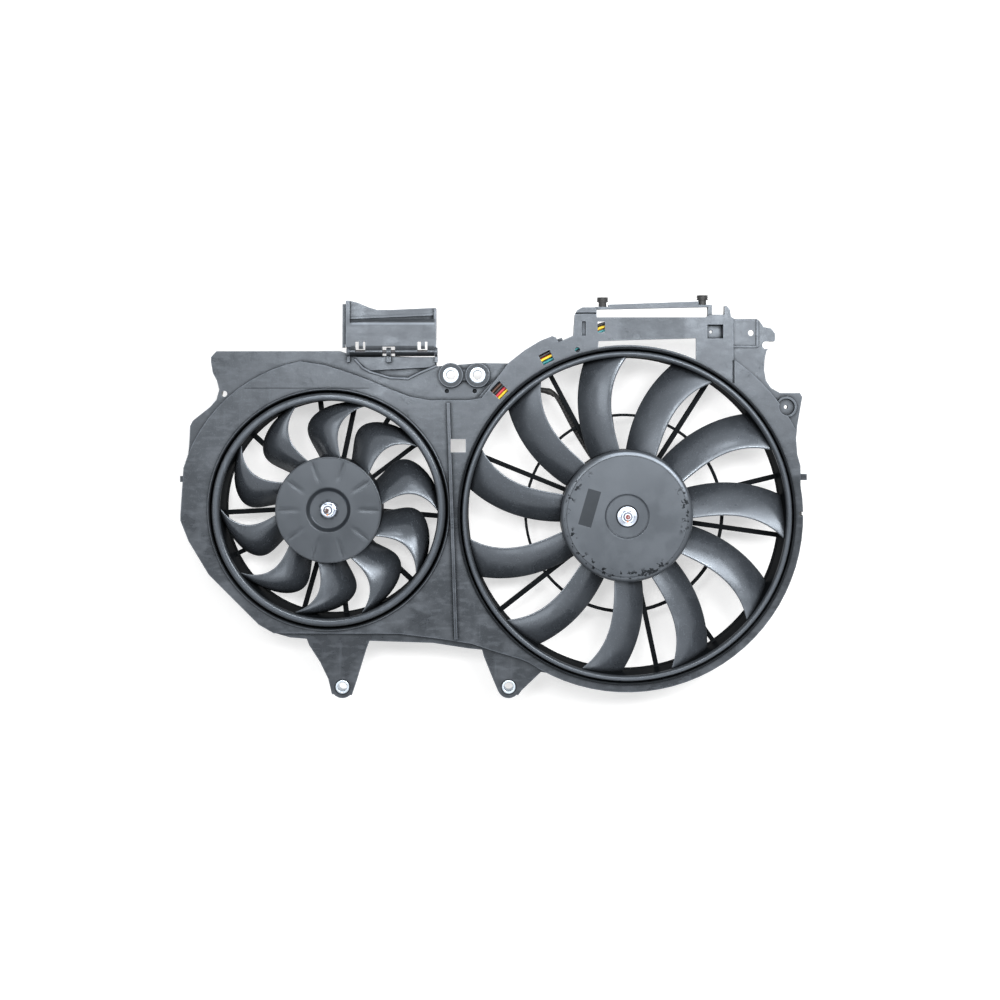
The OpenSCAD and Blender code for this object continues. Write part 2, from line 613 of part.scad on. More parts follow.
module windings(r, f, e) {
    c = core_r(r) - 1.4;
    for (w = [f - core_room, e + core_room - 4.5]) translate([0, 0, w]) rotate_extrude()
        polygon([[shaft_r + 4, 0], [c, 0], [c, 2.5], [c - 2, 4.5], [shaft_r + 6, 4.5], [shaft_r + 4, 2.5]]);
    around(core_slots, core_r(r) - slot_in) translate([0, 0, e + core_room - cut])
        cylinder(r = slot_r - seat, h = f - e - 2 * core_room + 2 * cut);
}
module commutator(e) {
    translate([0, 0, e + 3]) difference() {
        cylinder(r = commutator_r, h = core_room - 4.5 - 3 - seat);
        translate([0, 0, -cut]) cylinder(r = shaft_r + slip, h = 100);
        around(16, commutator_r) translate([-0.8, -0.3, -cut]) cube([2, 0.6, 7]);
    }
}
module bearings(f, e) {
    b = bearing_d / 2;
    w = bearing_w;
    in = shaft_r + slip / 2;
    for (h = [f - can_t - w, e + 2 - w]) translate([0, 0, h]) rotate_extrude()
        polygon([[in, 0], [shaft_r + 2, 0], [shaft_r + 2, 0.8], [b - 2, 0.8], [b - 2, 0], [b, 0], [b, w],
            [b - 2, w], [b - 2, w - 0.8], [shaft_r + 2, w - 0.8], [shaft_r + 2, w], [in, w]]);
}
module brush_card(r, e) {
    o = r - can_t - magnet_slip;
    ring(commutator_r + 4, o, e + 4, e + 6);
    for (a = [0, 180]) rotate(a) difference() {
        translate([commutator_r + 4, -5, e + 5]) cube([o - commutator_r - 8, 10, 6]);
        translate([commutator_r + 3, -3.2, e + 6]) cube([9.5, 6.4, 4]);
    }
}
module brushes(e) {
    for (a = [0, 180]) rotate(a) translate([commutator_r + seat, -3, e + 6.2]) cube([11, 6, 3.6]);
}
module shaft(h, e, boss_back) {
    translate([0, 0, e + 3 - bearing_w]) cylinder(r = shaft_r, h = h - e - 3 + bearing_w - 0.5);
    translate([0, 0, h - 0.5]) cylinder(r1 = shaft_r, r2 = shaft_r - 0.5, h = 0.5);
    translate([0, 0, boss_back - 1.5]) cylinder(r = shaft_r + 3, h = 1.5);
}
module nut(w) {
    difference() {
        union() {
            translate([0, 0, w]) cylinder(r = flange_r, h = flange_t);
            translate([0, 0, w + flange_t - 0.01]) cylinder(r = 7.5, h = nut_h, $fn = 6);
        }
        translate([0, 0, w - cut]) cylinder(r = thread_r, h = nut_h + flange_t + 2 * cut);
    }
}
module screws(r, rear) {
    around(3, r + screw_out, 30) {
        translate([0, 0, rear - strut_d]) cylinder(r = screw_d / 2, h = strut_d + ear_t);
        difference() {
            translate([0, 0, rear - strut_d - 3.5]) cylinder(r = screw_d / 2 + 2, h = 3.5);
            translate([0, 0, rear - strut_d - 4]) cylinder(r = 2, h = 2.5, $fn = 6);
        }
    }
}

small_floor = hub_h - dish_d;
large_floor = hub_h - large_dish_d;
module small_nut() { color(zinc) on_small() nut(small_floor); }
module large_nut() { color(zinc) on_large() nut(large_floor); }
module small_shaft() {
    color(steel) on_small() shaft(small_floor + 9.5, small_can_rear, small_floor - hub_boss_l);
}
module large_shaft() {
    color(steel) on_large() shaft(large_floor + 9.5, large_can_rear, large_floor - hub_boss_l);
}
module small_can() { color(steel) on_small() can(small_can_r, small_can_front, small_can_rear, small_rear); }
module large_can() { color(steel) on_large() can(large_can_r, large_can_front, large_can_rear, large_rear); }
module small_end_cap() { color(black) on_small() end_cap(small_can_r, small_can_rear, small_lead_a); }
module large_end_cap() { color(black) on_large() end_cap(large_can_r, large_can_rear, large_lead_a); }
module small_magnets() { color(ferrite) on_small() magnets(small_can_r, small_can_front, small_can_rear); }
module large_magnets() { color(ferrite) on_large() magnets(large_can_r, large_can_front, large_can_rear); }
module small_core() { color(core_grey) on_small() core(small_can_r, small_can_front, small_can_rear); }
module large_core() { color(core_grey) on_large() core(large_can_r, large_can_front, large_can_rear); }
module small_windings() { color(enamel) on_small() windings(small_can_r, small_can_front, small_can_rear); }
module large_windings() { color(enamel) on_large() windings(large_can_r, large_can_front, large_can_rear); }
module small_commutator() { color(bronze) on_small() commutator(small_can_rear); }
module large_commutator() { color(bronze) on_large() commutator(large_can_rear); }
module small_bearings() { color(steel) on_small() bearings(small_can_front, small_can_rear); }
module large_bearings() { color(steel) on_large() bearings(large_can_front, large_can_rear); }
module small_brush_card() { color(card) on_small() brush_card(small_can_r, small_can_rear); }
module large_brush_card() { color(card) on_large() brush_card(large_can_r, large_can_rear); }
module small_brushes() { color([0.1, 0.1, 0.1]) on_small() brushes(small_can_rear); }
module large_brushes() { color([0.1, 0.1, 0.1]) on_large() brushes(large_can_rear); }
module small_screws() { color(steel) on_small() screws(small_can_r, small_rear); }
module large_screws() { color(steel) on_large() screws(large_can_r, large_rear); }

// The flap: hinge barrel, joggled panel, side cheeks and the fingers in its two windows.
flap_z = pin_z + flap_top;
groove_z = flap_z - 13.2;
groove_h = 4;
groove_rise = 4;
module cheek(x0, x1, top, front) {
    translate([x0, 0, 0]) rotate([90, 0, 90]) linear_extrude(x1 - x0)
        polygon([[pin_z + 4.5, front], [top, front], [top, -8], [pin_z + 27, -8], [pin_z + 8.5, 2]]);
}
module groove_band(x0, x1, half) {
    r = groove_rise;
    polygon([[x0, groove_z - half], [x1, groove_z + r - half], [x1, groove_z + r + half], [x0, groove_z + half]]);
}
module flap() {
    color([0.3, 0.31, 0.33]) stand() difference() {
        union() {
            rod_x(barrel_x0, barrel_x1, barrel_d / 2, pin_w);
            slab(pin_w + 1, pin_w + 1 + flap_t) polygon([[barrel_x0, pin_z + 2], [barrel_x1, pin_z + 2],
                [barrel_x1, groove_z + groove_rise - 2], [barrel_x0, groove_z - 2]]);
            slab(pin_w - 1.5, pin_w - 1.5 + flap_t) polygon([[barrel_x0, groove_z],
                [barrel_x1, groove_z + groove_rise], [barrel_x1, flap_z + 1], [5, flap_z + 1],
                [-39, flap_z - 1], [-52.5, flap_z - 1], [-61, flap_z + 1.5], [-74, flap_z + 7], [barrel_x0, flap_z + 9]]);
            slab(pin_w - 4, pin_w + 1.2)
                groove_band(barrel_x0 + seat, barrel_x1 - seat, groove_h / 2 + flap_t);
            cheek(barrel_x1 - 0.5, barrel_x1 + 2, flap_z + 1, pin_w + 1 + flap_t);
            cheek(-87, -82.4, flap_z + 9, pin_w + 1 + flap_t);
            cheek(-91, -87.8, flap_z + 5.5, pin_w - 1);
            translate([-90, pin_z + 27, -8]) cube([6, 24, 2.5]);
        }
        rod_x(barrel_x0 - cut, barrel_x1 + cut, flap_pin_d / 2 + slip, pin_w);
        translate([notch_x0, pin_z - 10, -20]) cube([notch_x1 - notch_x0, 15.6, 40]);
        for (x = [-71, -3]) difference() {
            translate([x - 5.5, pin_z - 0.5, -20]) cube([11, 11.5, 40]);
            translate([x - 1.6, pin_z + 3, -21]) cube([4.4, 12, 42]);
        }
        slab(pin_w - 1.2, through_1) groove_band(barrel_x0 + 2 * slip, barrel_x1 - 2 * cut, groove_h / 2);
    }
}
module flap_pin() {
    color(black) stand() rod_x(pin_x0, pin_x1, flap_pin_d / 2, pin_w);
}

// A cord swept along points q, with the sides set out from direction n.
module cord(q, r, n, sides = 8) {
    m = len(q);
    dirs = [for (i = [0:m - 1]) unit(q[min(i + 1, m - 1)] - q[max(i - 1, 0)])];
    pts = [for (i = [0:m - 1]) let (u = unit(cross(dirs[i], n)), v = cross(dirs[i], u)) for (k = [0:sides - 1])
        q[i] + r * (cos(360 * k / sides) * u + sin(360 * k / sides) * v)];
    polyhedron(pts, concat([[for (k = [0:sides - 1]) k]], [[for (k = [sides - 1:-1:0]) (m - 1) * sides + k]],
        [for (i = [0:m - 2]) for (k = [0:sides - 1]) let (a = i * sides + k, b = i * sides + (k + 1) % sides)
            each [[a, a + sides, b + sides], [a, b + sides, b]]]));
}
function bezier(a, b, c, d, t) =
    a * pow(1 - t, 3) + 3 * b * t * pow(1 - t, 2) + 3 * c * t * t * (1 - t) + d * pow(t, 3);
function spline(k, n) = [for (i = [0:len(k) - 2])
    let (a = k[max(i - 1, 0)], b = k[i], c = k[i + 1], d = k[min(i + 2, len(k) - 1)])
    for (j = [0:(i == len(k) - 2 ? n : n - 1)]) bezier(b, b + (c - a) / 6, c - (d - b) / 6, c, j / n)];
function swap(a) = min(1, max(0, (131 - a) / 10));
// Wires: radius and depth before and after they change places, then the height of their end in the plug.
module channel_wire(r0, w0, r1, w1, z, bend = 1) {
    arc_pts = [for (i = [0:9]) let (a = mix(boot_a0 - 2 * slip, 112, i / 9), t = swap(a))
        polar(large_at, channel_in + mix(r0, r1, t), a, mix(w0, w1, pow(t, bend)))];
    p = polar(large_at, channel_in + r1, 108, w1);
    q = [plug_x - seat, z, w1];
    end_pts = [for (t = [0:0.125:1]) bezier(p, p + [9, 3, 0], q - [14, 0, 0], q, t)];
    stand() cord(concat(arc_pts, end_pts), wire_d / 2, [0, 0, 1]);
}
module wire_brown() { color([0.35, 0.2, 0.1]) channel_wire(12, wire_w, 11.4, wire_back_w, 398); }
module wire_black() { color([0.05, 0.05, 0.05]) channel_wire(8.8, wire_w, 10, wire_w, 400); }
module wire_red() { color([0.7, 0.1, 0.1]) channel_wire(5.6, wire_w, 7.4, wire_back_w, 394); }
module wire_yellow() { color([0.9, 0.75, 0.1]) channel_wire(2.4, wire_w, 6.2, wire_w, 396); }
module wire_green() { color([0.1, 0.45, 0.4]) channel_wire(2.4, wire_back_w, 2.4, wire_w, 392, 2); }

module connector() {
    color([0.1, 0.1, 0.1]) stand() difference() {
        union() {
            translate([plug_x, 384, -4]) cube([30, 18.5, face_h - wall - seat + 4]);
            translate([plug_x + 30, 386, -2]) cube([6, 14.5, 8]);
            translate([plug_x + 8, 387, -6]) cube([14, 12, 3]);
        }
        translate([plug_x + 26, 388, 0]) cube([12, 10.5, 4]);
    }
}
module loom_boot() {
    color([0.06, 0.06, 0.06]) on_large() rotate(boot_a0) rotate_extrude(angle = boot_a1 - boot_a0)
        translate([channel_in + seat, 0]) square([channel_out - channel_in - 2 * seat, face_h - wall - seat]);
}
module small_lead() {
    a = small_lead_a;
    w = small_rear - strut_d - lead_d / 2 - seat;
    e = small_can_rear - cap_t - outlet_h / 2;
    b = polar(large_at, channel_in + 11.9, boot_exit_a, -slip);
    r = small_can_r;
    q = [b, b + 3 * back, b + 9 * back, [40, 285, -22], [24, 277, -33], [9, 272, w + 1],
        polar(small_at, small_band_r + 9, 35, w), polar(small_at, small_band_r - 7, a, w),
        polar(small_at, 84, a, w), polar(small_at, r + 24, a, w - 0.6), polar(small_at, r + 15, a, w - 6),
        polar(small_at, r + 11.5, a, e + 2), polar(small_at, r + 7, a, e), polar(small_at, r + 3, a, e),
        polar(small_at, r - 7.5, a, e)];
    color([0.07, 0.07, 0.07]) stand() cord(spline(q, 3), lead_d / 2, [-sin(a), cos(a), 0]);
}
module large_lead() {
    a = large_lead_a;
    w = large_rear - strut_d - lead_d / 2 - seat;
    e = large_can_rear - cap_t - outlet_h / 2;
    side = 4.5 * [-sin(a), cos(a), 0];
    b = polar(large_at, channel_in + 4.9, boot_exit_a, -slip);
    r = large_can_r;
    q = [b, b + 3 * back, b + 9 * back, polar(large_at, channel_in + 3.4, 144, -23),
        polar(large_at, channel_in - 1, 137, -34), polar(large_at, channel_in - 9, 130, w),
        polar(large_at, channel_in - 17.6, 125.5, w), polar(large_at, 158, 121, w),
        polar(large_at, 146, a, w) + side, polar(large_at, 110, a, w) + side,
        polar(large_at, r + 32, a, w - 1) + side / 2, polar(large_at, r + 20, a, w - 7),
        polar(large_at, r + 14, a, e + 3), polar(large_at, r + 8, a, e), polar(large_at, r + 3, a, e),
        polar(large_at, r - 7.5, a, e)];
    color([0.07, 0.07, 0.07]) stand() cord(spline(q, 3), lead_d / 2, [-sin(a), cos(a), 0]);
}

shroud();
lower_sleeves();
upper_sleeves();
rubber_buffers();
flap();
flap_pin();
small_impeller();
small_nut();
small_shaft();
small_can();
small_end_cap();
small_magnets();
small_core();
small_windings();
small_commutator();
small_bearings();
small_brush_card();
small_brushes();
small_screws();
large_impeller();
large_nut();
large_shaft();
large_can();
large_end_cap();
large_magnets();
large_core();
large_windings();
large_commutator();
large_bearings();
large_brush_card();
large_brushes();
large_screws();
wire_brown();
wire_black();
wire_red();
wire_yellow();
wire_green();
connector();
loom_boot();
small_lead();
large_lead();
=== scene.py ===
"""Dresses a twin electric radiator fan: shroud, two banded impellers, motors, flap and wiring.

Lengths are in metres in the frame's own axes: +X to the right seen from the radiator side, +Y towards the
engine and +Z up. Shapes are worked out in millimetres on a flat sheet (x, z) with a height w towards the
viewer, and `stand` turns them into the frame.
"""

from __future__ import annotations

import json
import logging
import math
from collections.abc import Callable, Mapping, Sequence
from dataclasses import dataclass, field
from enum import Enum
from typing import Any, Protocol

import bpy
import numpy as np
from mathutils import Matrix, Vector


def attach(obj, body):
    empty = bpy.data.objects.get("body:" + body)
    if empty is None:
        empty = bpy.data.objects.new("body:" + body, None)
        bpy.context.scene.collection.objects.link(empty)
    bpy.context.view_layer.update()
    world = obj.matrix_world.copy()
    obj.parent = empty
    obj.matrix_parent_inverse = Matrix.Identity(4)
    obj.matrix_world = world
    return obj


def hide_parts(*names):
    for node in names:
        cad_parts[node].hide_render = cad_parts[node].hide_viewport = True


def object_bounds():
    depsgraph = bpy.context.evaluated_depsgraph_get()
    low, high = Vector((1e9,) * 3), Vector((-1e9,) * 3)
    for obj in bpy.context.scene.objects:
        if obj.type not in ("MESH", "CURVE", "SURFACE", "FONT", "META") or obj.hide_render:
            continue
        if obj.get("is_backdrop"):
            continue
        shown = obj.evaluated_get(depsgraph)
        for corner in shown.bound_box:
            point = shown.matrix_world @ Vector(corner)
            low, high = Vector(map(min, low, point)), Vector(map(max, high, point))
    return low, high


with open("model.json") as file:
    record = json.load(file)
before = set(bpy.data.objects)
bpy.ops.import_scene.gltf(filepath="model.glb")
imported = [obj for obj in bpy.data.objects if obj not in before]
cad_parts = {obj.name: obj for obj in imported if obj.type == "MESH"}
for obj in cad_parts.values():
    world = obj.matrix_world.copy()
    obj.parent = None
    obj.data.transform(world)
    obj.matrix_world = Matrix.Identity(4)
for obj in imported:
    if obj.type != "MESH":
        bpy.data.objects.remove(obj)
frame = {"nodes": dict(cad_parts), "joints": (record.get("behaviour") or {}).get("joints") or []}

LOG = logging.getLogger("radiator_fan")
MM = 0.001
Colour = tuple[float, float, float]
Spot = tuple[float, float]
Array = np.ndarray

# The tint of the plastics' reflections, and how many rays find creases and round edges
SHEEN = (0.815, 0.90, 1.0)
CREASE_SAMPLES = 5
EDGE_SAMPLES = 6

# The rays that see the white surroundings as they are
SEEN_RAYS = ("Is Camera Ray", "Is Glossy Ray", "Is Transmission Ray")

# The middles of the mounting bores, as (x, z) in millimetres
FEET_BORES = ((-91.5, 0.0), (91.5, 0.0))
UPPER_BORES = ((28.0, 343.0), (57.4, 343.0))


def grey(level: float, warmth: float = 0.0) -> Colour:
    """Gives a dark plastic's colour.

    Args:
        level: How light the colour is, as a linear value.
        warmth: How far it leans from blue towards brown, about -0.1 to 0.1.

    Returns:
        The linear colour.
    """
    return (level * (0.88 + warmth), level, level * (1.17 - warmth))


def darker(colour: Colour, share: float) -> Colour:
    """Gives the colour with each channel cut to that share."""
    return tuple(share * channel for channel in colour)


def joint_centre(name: str) -> Spot:
    """Gives where a joint's axis crosses the sheet, as (x, z) in millimetres."""
    spot = next(j["pos_m"] for j in frame["joints"] if j["name"] == name)
    return (spot[0] / MM, spot[2] / MM)


SMALL_AXIS = joint_centre("small_fan_spin")
LARGE_AXIS = joint_centre("large_fan_spin")


# Shader maths


class Signal:
    """A shader socket that can be used in a Python expression."""

    def __init__(self, graph: "Graph", socket: bpy.types.NodeSocket) -> None:
        """Keeps the socket and the graph that it belongs to."""
        self.graph = graph
        self.socket = socket

    def __add__(self, other: "Signal | float") -> "Signal":
        """Adds."""
        return self.graph.maths("ADD", self, other)

    __radd__ = __add__

    def __sub__(self, other: "Signal | float") -> "Signal":
        """Subtracts."""
        return self.graph.maths("SUBTRACT", self, other)

    def __rsub__(self, other: float) -> "Signal":
        """Subtracts this from a number."""
        return self.graph.maths("SUBTRACT", other, self)

    def __mul__(self, other: "Signal | float") -> "Signal":
        """Multiplies."""
        return self.graph.maths("MULTIPLY", self, other)

    __rmul__ = __mul__

    def __truediv__(self, other: "Signal | float") -> "Signal":
        """Divides."""
        return self.graph.maths("DIVIDE", self, other)

    def __pow__(self, other: float) -> "Signal":
        """Raises to a power."""
        return self.graph.maths("POWER", self, other)

    def __gt__(self, other: "Signal | float") -> "Signal":
        """Gives 1 where this is greater."""
        return self.graph.maths("GREATER_THAN", self, other)

    def __lt__(self, other: "Signal | float") -> "Signal":
        """Gives 1 where this is less."""
        return self.graph.maths("LESS_THAN", self, other)

    def __abs__(self) -> "Signal":
        """Drops the sign."""
        return self.graph.maths("ABSOLUTE", self)

    def least(self, other: "Signal | float") -> "Signal":
        """Gives the smaller of the two."""
        return self.graph.maths("MINIMUM", self, other)

    def most(self, other: "Signal | float") -> "Signal":
        """Gives the greater of the two."""
        return self.graph.maths("MAXIMUM", self, other)

    def fade(self, low: float, high: float, start: float = 0.0, end: float = 1.0) -> "Signal":
        """Maps a range smoothly onto another.

        Args:
            low: The value that becomes start.
            high: The value that becomes end.
            start: The result at low and below.
            end: The result at high and above.

        Returns:
            The mapped value.
        """
        return self.graph.node(
            "ShaderNodeMapRange",
            {"interpolation_type": "SMOOTHSTEP"},
            {"Value": self, "From Min": low, "From Max": high, "To Min": start, "To Max": end},
        )


Value = Signal | float | int | Sequence[float]


class Graph:
    """The nodes of one material, or of the world."""

    def __init__(self, name: str, world: bool = False) -> None:
        """Makes an empty material or an empty world.

        Args:
            name: The material's or the world's name.
            world: Whether it is a world.
        """
        self.owner = (bpy.data.worlds if world else bpy.data.materials).new(name)
        self.owner.use_nodes = True
        self.tree = self.owner.node_tree
        self.tree.nodes.clear()

    def node(
        self,
        kind: str,
        settings: Mapping[str, Any] | None = None,
        inputs: Mapping[str | int, Value] | None = None,
        output: str | int = 0,
    ) -> Signal:
        """Adds a node, sets it up and links it.

        Args:
            kind: The node's type.
            settings: Its properties, such as a Math node's operation, which are set first.
            inputs: Values or signals for its sockets.
            output: The socket that is returned.

        Returns:
            That socket, or the first input of a node that has no output.
        """
        made = self.tree.nodes.new(kind)
        for key, value in (settings or {}).items():
            setattr(made, key, value)
        for key, value in (inputs or {}).items():
            socket = made.inputs[key]
            if isinstance(value, Signal):
                self.tree.links.new(value.socket, socket)
            elif socket.type == "RGBA" and not isinstance(value, (int, float)):
                socket.default_value = (*value[:3], 1.0)
            else:
                socket.default_value = value
        return Signal(self, made.outputs[output] if made.outputs else made.inputs[0])

    def maths(self, operation: str, *values: Value) -> Signal:
        """Adds a Math node for the operation and its values."""
        return self.node("ShaderNodeMath", {"operation": operation}, dict(enumerate(values)))

    def mix(self, factor: Value, first: Value, second: Value) -> Signal:
        """Mixes two colours.

        Args:
            factor: 0 for the first colour and 1 for the second.
            first: A colour or a signal.
            second: A colour or a signal.

        Returns:
            The mixed colour.
        """
        return self.node("ShaderNodeMix", {"data_type": "RGBA"}, {0: factor, 6: first, 7: second}, 2)

    def place(self) -> Signal:
        """Gives the point on the piece, in metres."""
        return self.node("ShaderNodeTexCoord", {}, {}, "Object")

    def split(self, vector: Signal) -> tuple[Signal, Signal, Signal]:
        """Gives a vector's x, y and z."""
        parts = self.node("ShaderNodeSeparateXYZ", {}, {0: vector}).socket.node.outputs
        return tuple(Signal(self, parts[axis]) for axis in ("X", "Y", "Z"))

    def axes(self) -> tuple[Signal, Signal, Signal]:
        """Gives the point's x, y and z, in millimetres."""
        return tuple(part * (1 / MM) for part in self.split(self.place()))

    def seen(self) -> Signal:
        """Gives 1 to rays from the camera, off gloss and through glass, and 0 to the others."""
        rays = [self.node("ShaderNodeLightPath", {}, {}, ray) for ray in SEEN_RAYS]
        return (rays[0] + rays[1] + rays[2]).least(1.0)

    def noise(self, per_metre: float, detail: float = 4.0, stretch: Sequence[float] = (1, 1, 1)) -> Signal:
        """Adds noise over the piece.

        Args:
            per_metre: How many waves there are in a metre.
            detail: How many finer layers it has.
            stretch: Scales along the three axes.

        Returns:
            A value of about 0.3 to 0.7.
        """
        at = self.node("ShaderNodeMapping", {}, {0: self.place(), "Scale": stretch})
        return self.node(
            "ShaderNodeTexNoise", {}, {"Vector": at, "Scale": per_metre, "Detail": detail}, "Fac"
        )

    def bump(self, height: Signal, depth: float, under: Signal | None = None) -> Signal:
        """Turns a height into a normal.

        Args:
            height: The height, 0 to 1.
            depth: What 1 stands for, in metres.
            under: A normal to start from.

        Returns:
            The normal.
        """
        inputs: dict[str, Value] = {"Height": height, "Distance": depth, "Strength": 1.0}
        if under is not None:
            inputs["Normal"] = under
        return self.node("ShaderNodeBump", {}, inputs)

    def openness(self, reach: float, inside: bool = False) -> Signal:
        """Gives how open the surface is: 1 on a flat, less in a crease or, seen from inside, at an edge.

        Args:
            reach: How far off a surface still counts, in metres.
            inside: Whether it is measured inwards, which finds edges.

        Returns:
            A value from 0 to 1.
        """
        settings = {"samples": CREASE_SAMPLES, "only_local": True, "inside": inside}
        return self.node("ShaderNodeAmbientOcclusion", settings, {"Distance": reach}, "AO")

    def rounded(self, radius: float) -> Signal:
        """Gives the normal with sharp edges rounded to the radius, in metres."""
        return self.node("ShaderNodeBevel", {"samples": EDGE_SAMPLES}, {"Radius": radius})

    def principled(self, **sockets: Value) -> Signal:
        """Adds a Principled shader.

        Args:
            **sockets: Its values by socket name, with an underscore for a space.

        Returns:
            The shader.
        """
        return self.node(
            "ShaderNodeBsdfPrincipled", {}, {key.replace("_", " "): value for key, value in sockets.items()}
        )

    def finish(self, shader: Signal) -> bpy.types.Material:
        """Ends the material in the shader."""
        self.node("ShaderNodeOutputMaterial", {}, {"Surface": shader})
        return self.owner

    def surface(self, **sockets: Value) -> bpy.types.Material:
        """Ends the material in one Principled shader with those sockets."""
        return self.finish(self.principled(**sockets))

    def moulding(self, shade_and_wear: Signal, gloss: float, **sockets: Value) -> bpy.types.Material:
        """Ends the material in glossy plastic that turns matte and near black where a mask is 1, which paints
        shade and dark wear.

        Args:
            shade_and_wear: The mask, which is 1 on chips and where shade is painted: in creases and deep
                places.
            gloss: The glossy part's specular level.
            **sockets: Values of the glossy part, with an underscore for a space.

        Returns:
            The material.
        """
        shine = self.principled(IOR=1.5, Specular_IOR_Level=gloss, Specular_Tint=SHEEN, **sockets)
        # The matte near-black part is the painted shade and the dark wear
        matte = self.principled(
            Base_Color=(0.006, 0.007, 0.008), Roughness=0.7, IOR=1.5, Specular_IOR_Level=0.0,
            Normal=sockets["Normal"],
        )
        return self.finish(self.node("ShaderNodeMixShader", {}, {0: shade_and_wear.least(1.0), 1: shine, 2: matte}))


def distance(x: Signal, z: Signal, centre: Spot) -> Signal:
    """Gives how far the point is from a centre on the sheet: the root of the sum of its two squares."""
    across, up = x - centre[0], z - centre[1]
    return x.graph.maths("SQRT", across * across + up * up)


def bearing(x: Signal, z: Signal, centre: Spot) -> Signal:
    """Gives the point's angle about a centre on the sheet, in radians from +X towards +Z."""
    return x.graph.maths("ARCTAN2", z - centre[1], x - centre[0])


# Finishes


class Finish(Protocol):
    """What every finish offers: a name and a way to make its material."""

    @property
    def name(self) -> str:
        """Gives the material's name."""

    def build(self) -> bpy.types.Material:
        """Makes the material."""


@dataclass(frozen=True)
class Blotch:
    """A mask of noise.

    Attributes:
        per_metre: How many waves there are in a metre.
        detail: How many finer layers it has.
        low: The noise at which the mask starts.
        high: The noise at which it is 1.
        stretch: Scales along the three axes.
        least: What the mask gives at low and below.
    """

    per_metre: float
    detail: float
    low: float
    high: float
    stretch: tuple[float, float, float] = (1.0, 1.0, 1.0)
    least: float = 0.0

    def mask(self, g: Graph) -> Signal:
        """Gives the mask in that graph."""
        return g.noise(self.per_metre, self.detail, self.stretch).fade(self.low, self.high, self.least)


@dataclass(frozen=True)
class Mark:
    """A level line or band on a face where shade or a highlight is painted: a fold, a groove or a step, in
    millimetres on the sheet.
    """

    left: float
    right: float
    low: float
    high: float
    strength: float = 0.6
    soft: float = 0.5

    def mask(self, x: Signal, y: Signal, z: Signal) -> Signal:
        """Gives 1 on the band, faded over the soft width at its sides and four times that at its ends.

        Args:
            x: The point's distance to the right, in millimetres.
            y: Its depth behind the rim plate's face; not used.
            z: Its height up the sheet.

        Returns:
            The mask.
        """
        middle, half = (self.low + self.high) / 2, (self.high - self.low) / 2
        line = abs(z - middle).fade(half, half + self.soft, 1, 0)
        ends = 4 * self.soft
        return line * x.fade(self.left - ends, self.left) * x.fade(self.right, self.right + ends, 1, 0)


@dataclass(frozen=True)
class Ring:
    """A ring about a point of the sheet, in millimetres, and only behind a depth if one is given."""

    centre: Spot
    inner: float
    outer: float
    strength: float = 0.6
    soft: float = 0.5
    behind: float | None = None

    def mask(self, x: Signal, y: Signal, z: Signal) -> Signal:
        """Gives 1 between the two radii, fading over the soft width outside them.

        Args:
            x: The point's distance to the right, in millimetres.
            y: Its depth behind the rim plate's face.
            z: Its height up the sheet.

        Returns:
            The mask.
        """
        radius = distance(x, z, self.centre)
        ring = radius.fade(self.inner - self.soft, self.inner)
        ring = ring * radius.fade(self.outer, self.outer + self.soft, 1, 0)
        return ring if self.behind is None else ring * y.fade(self.behind, self.behind + 2.0)


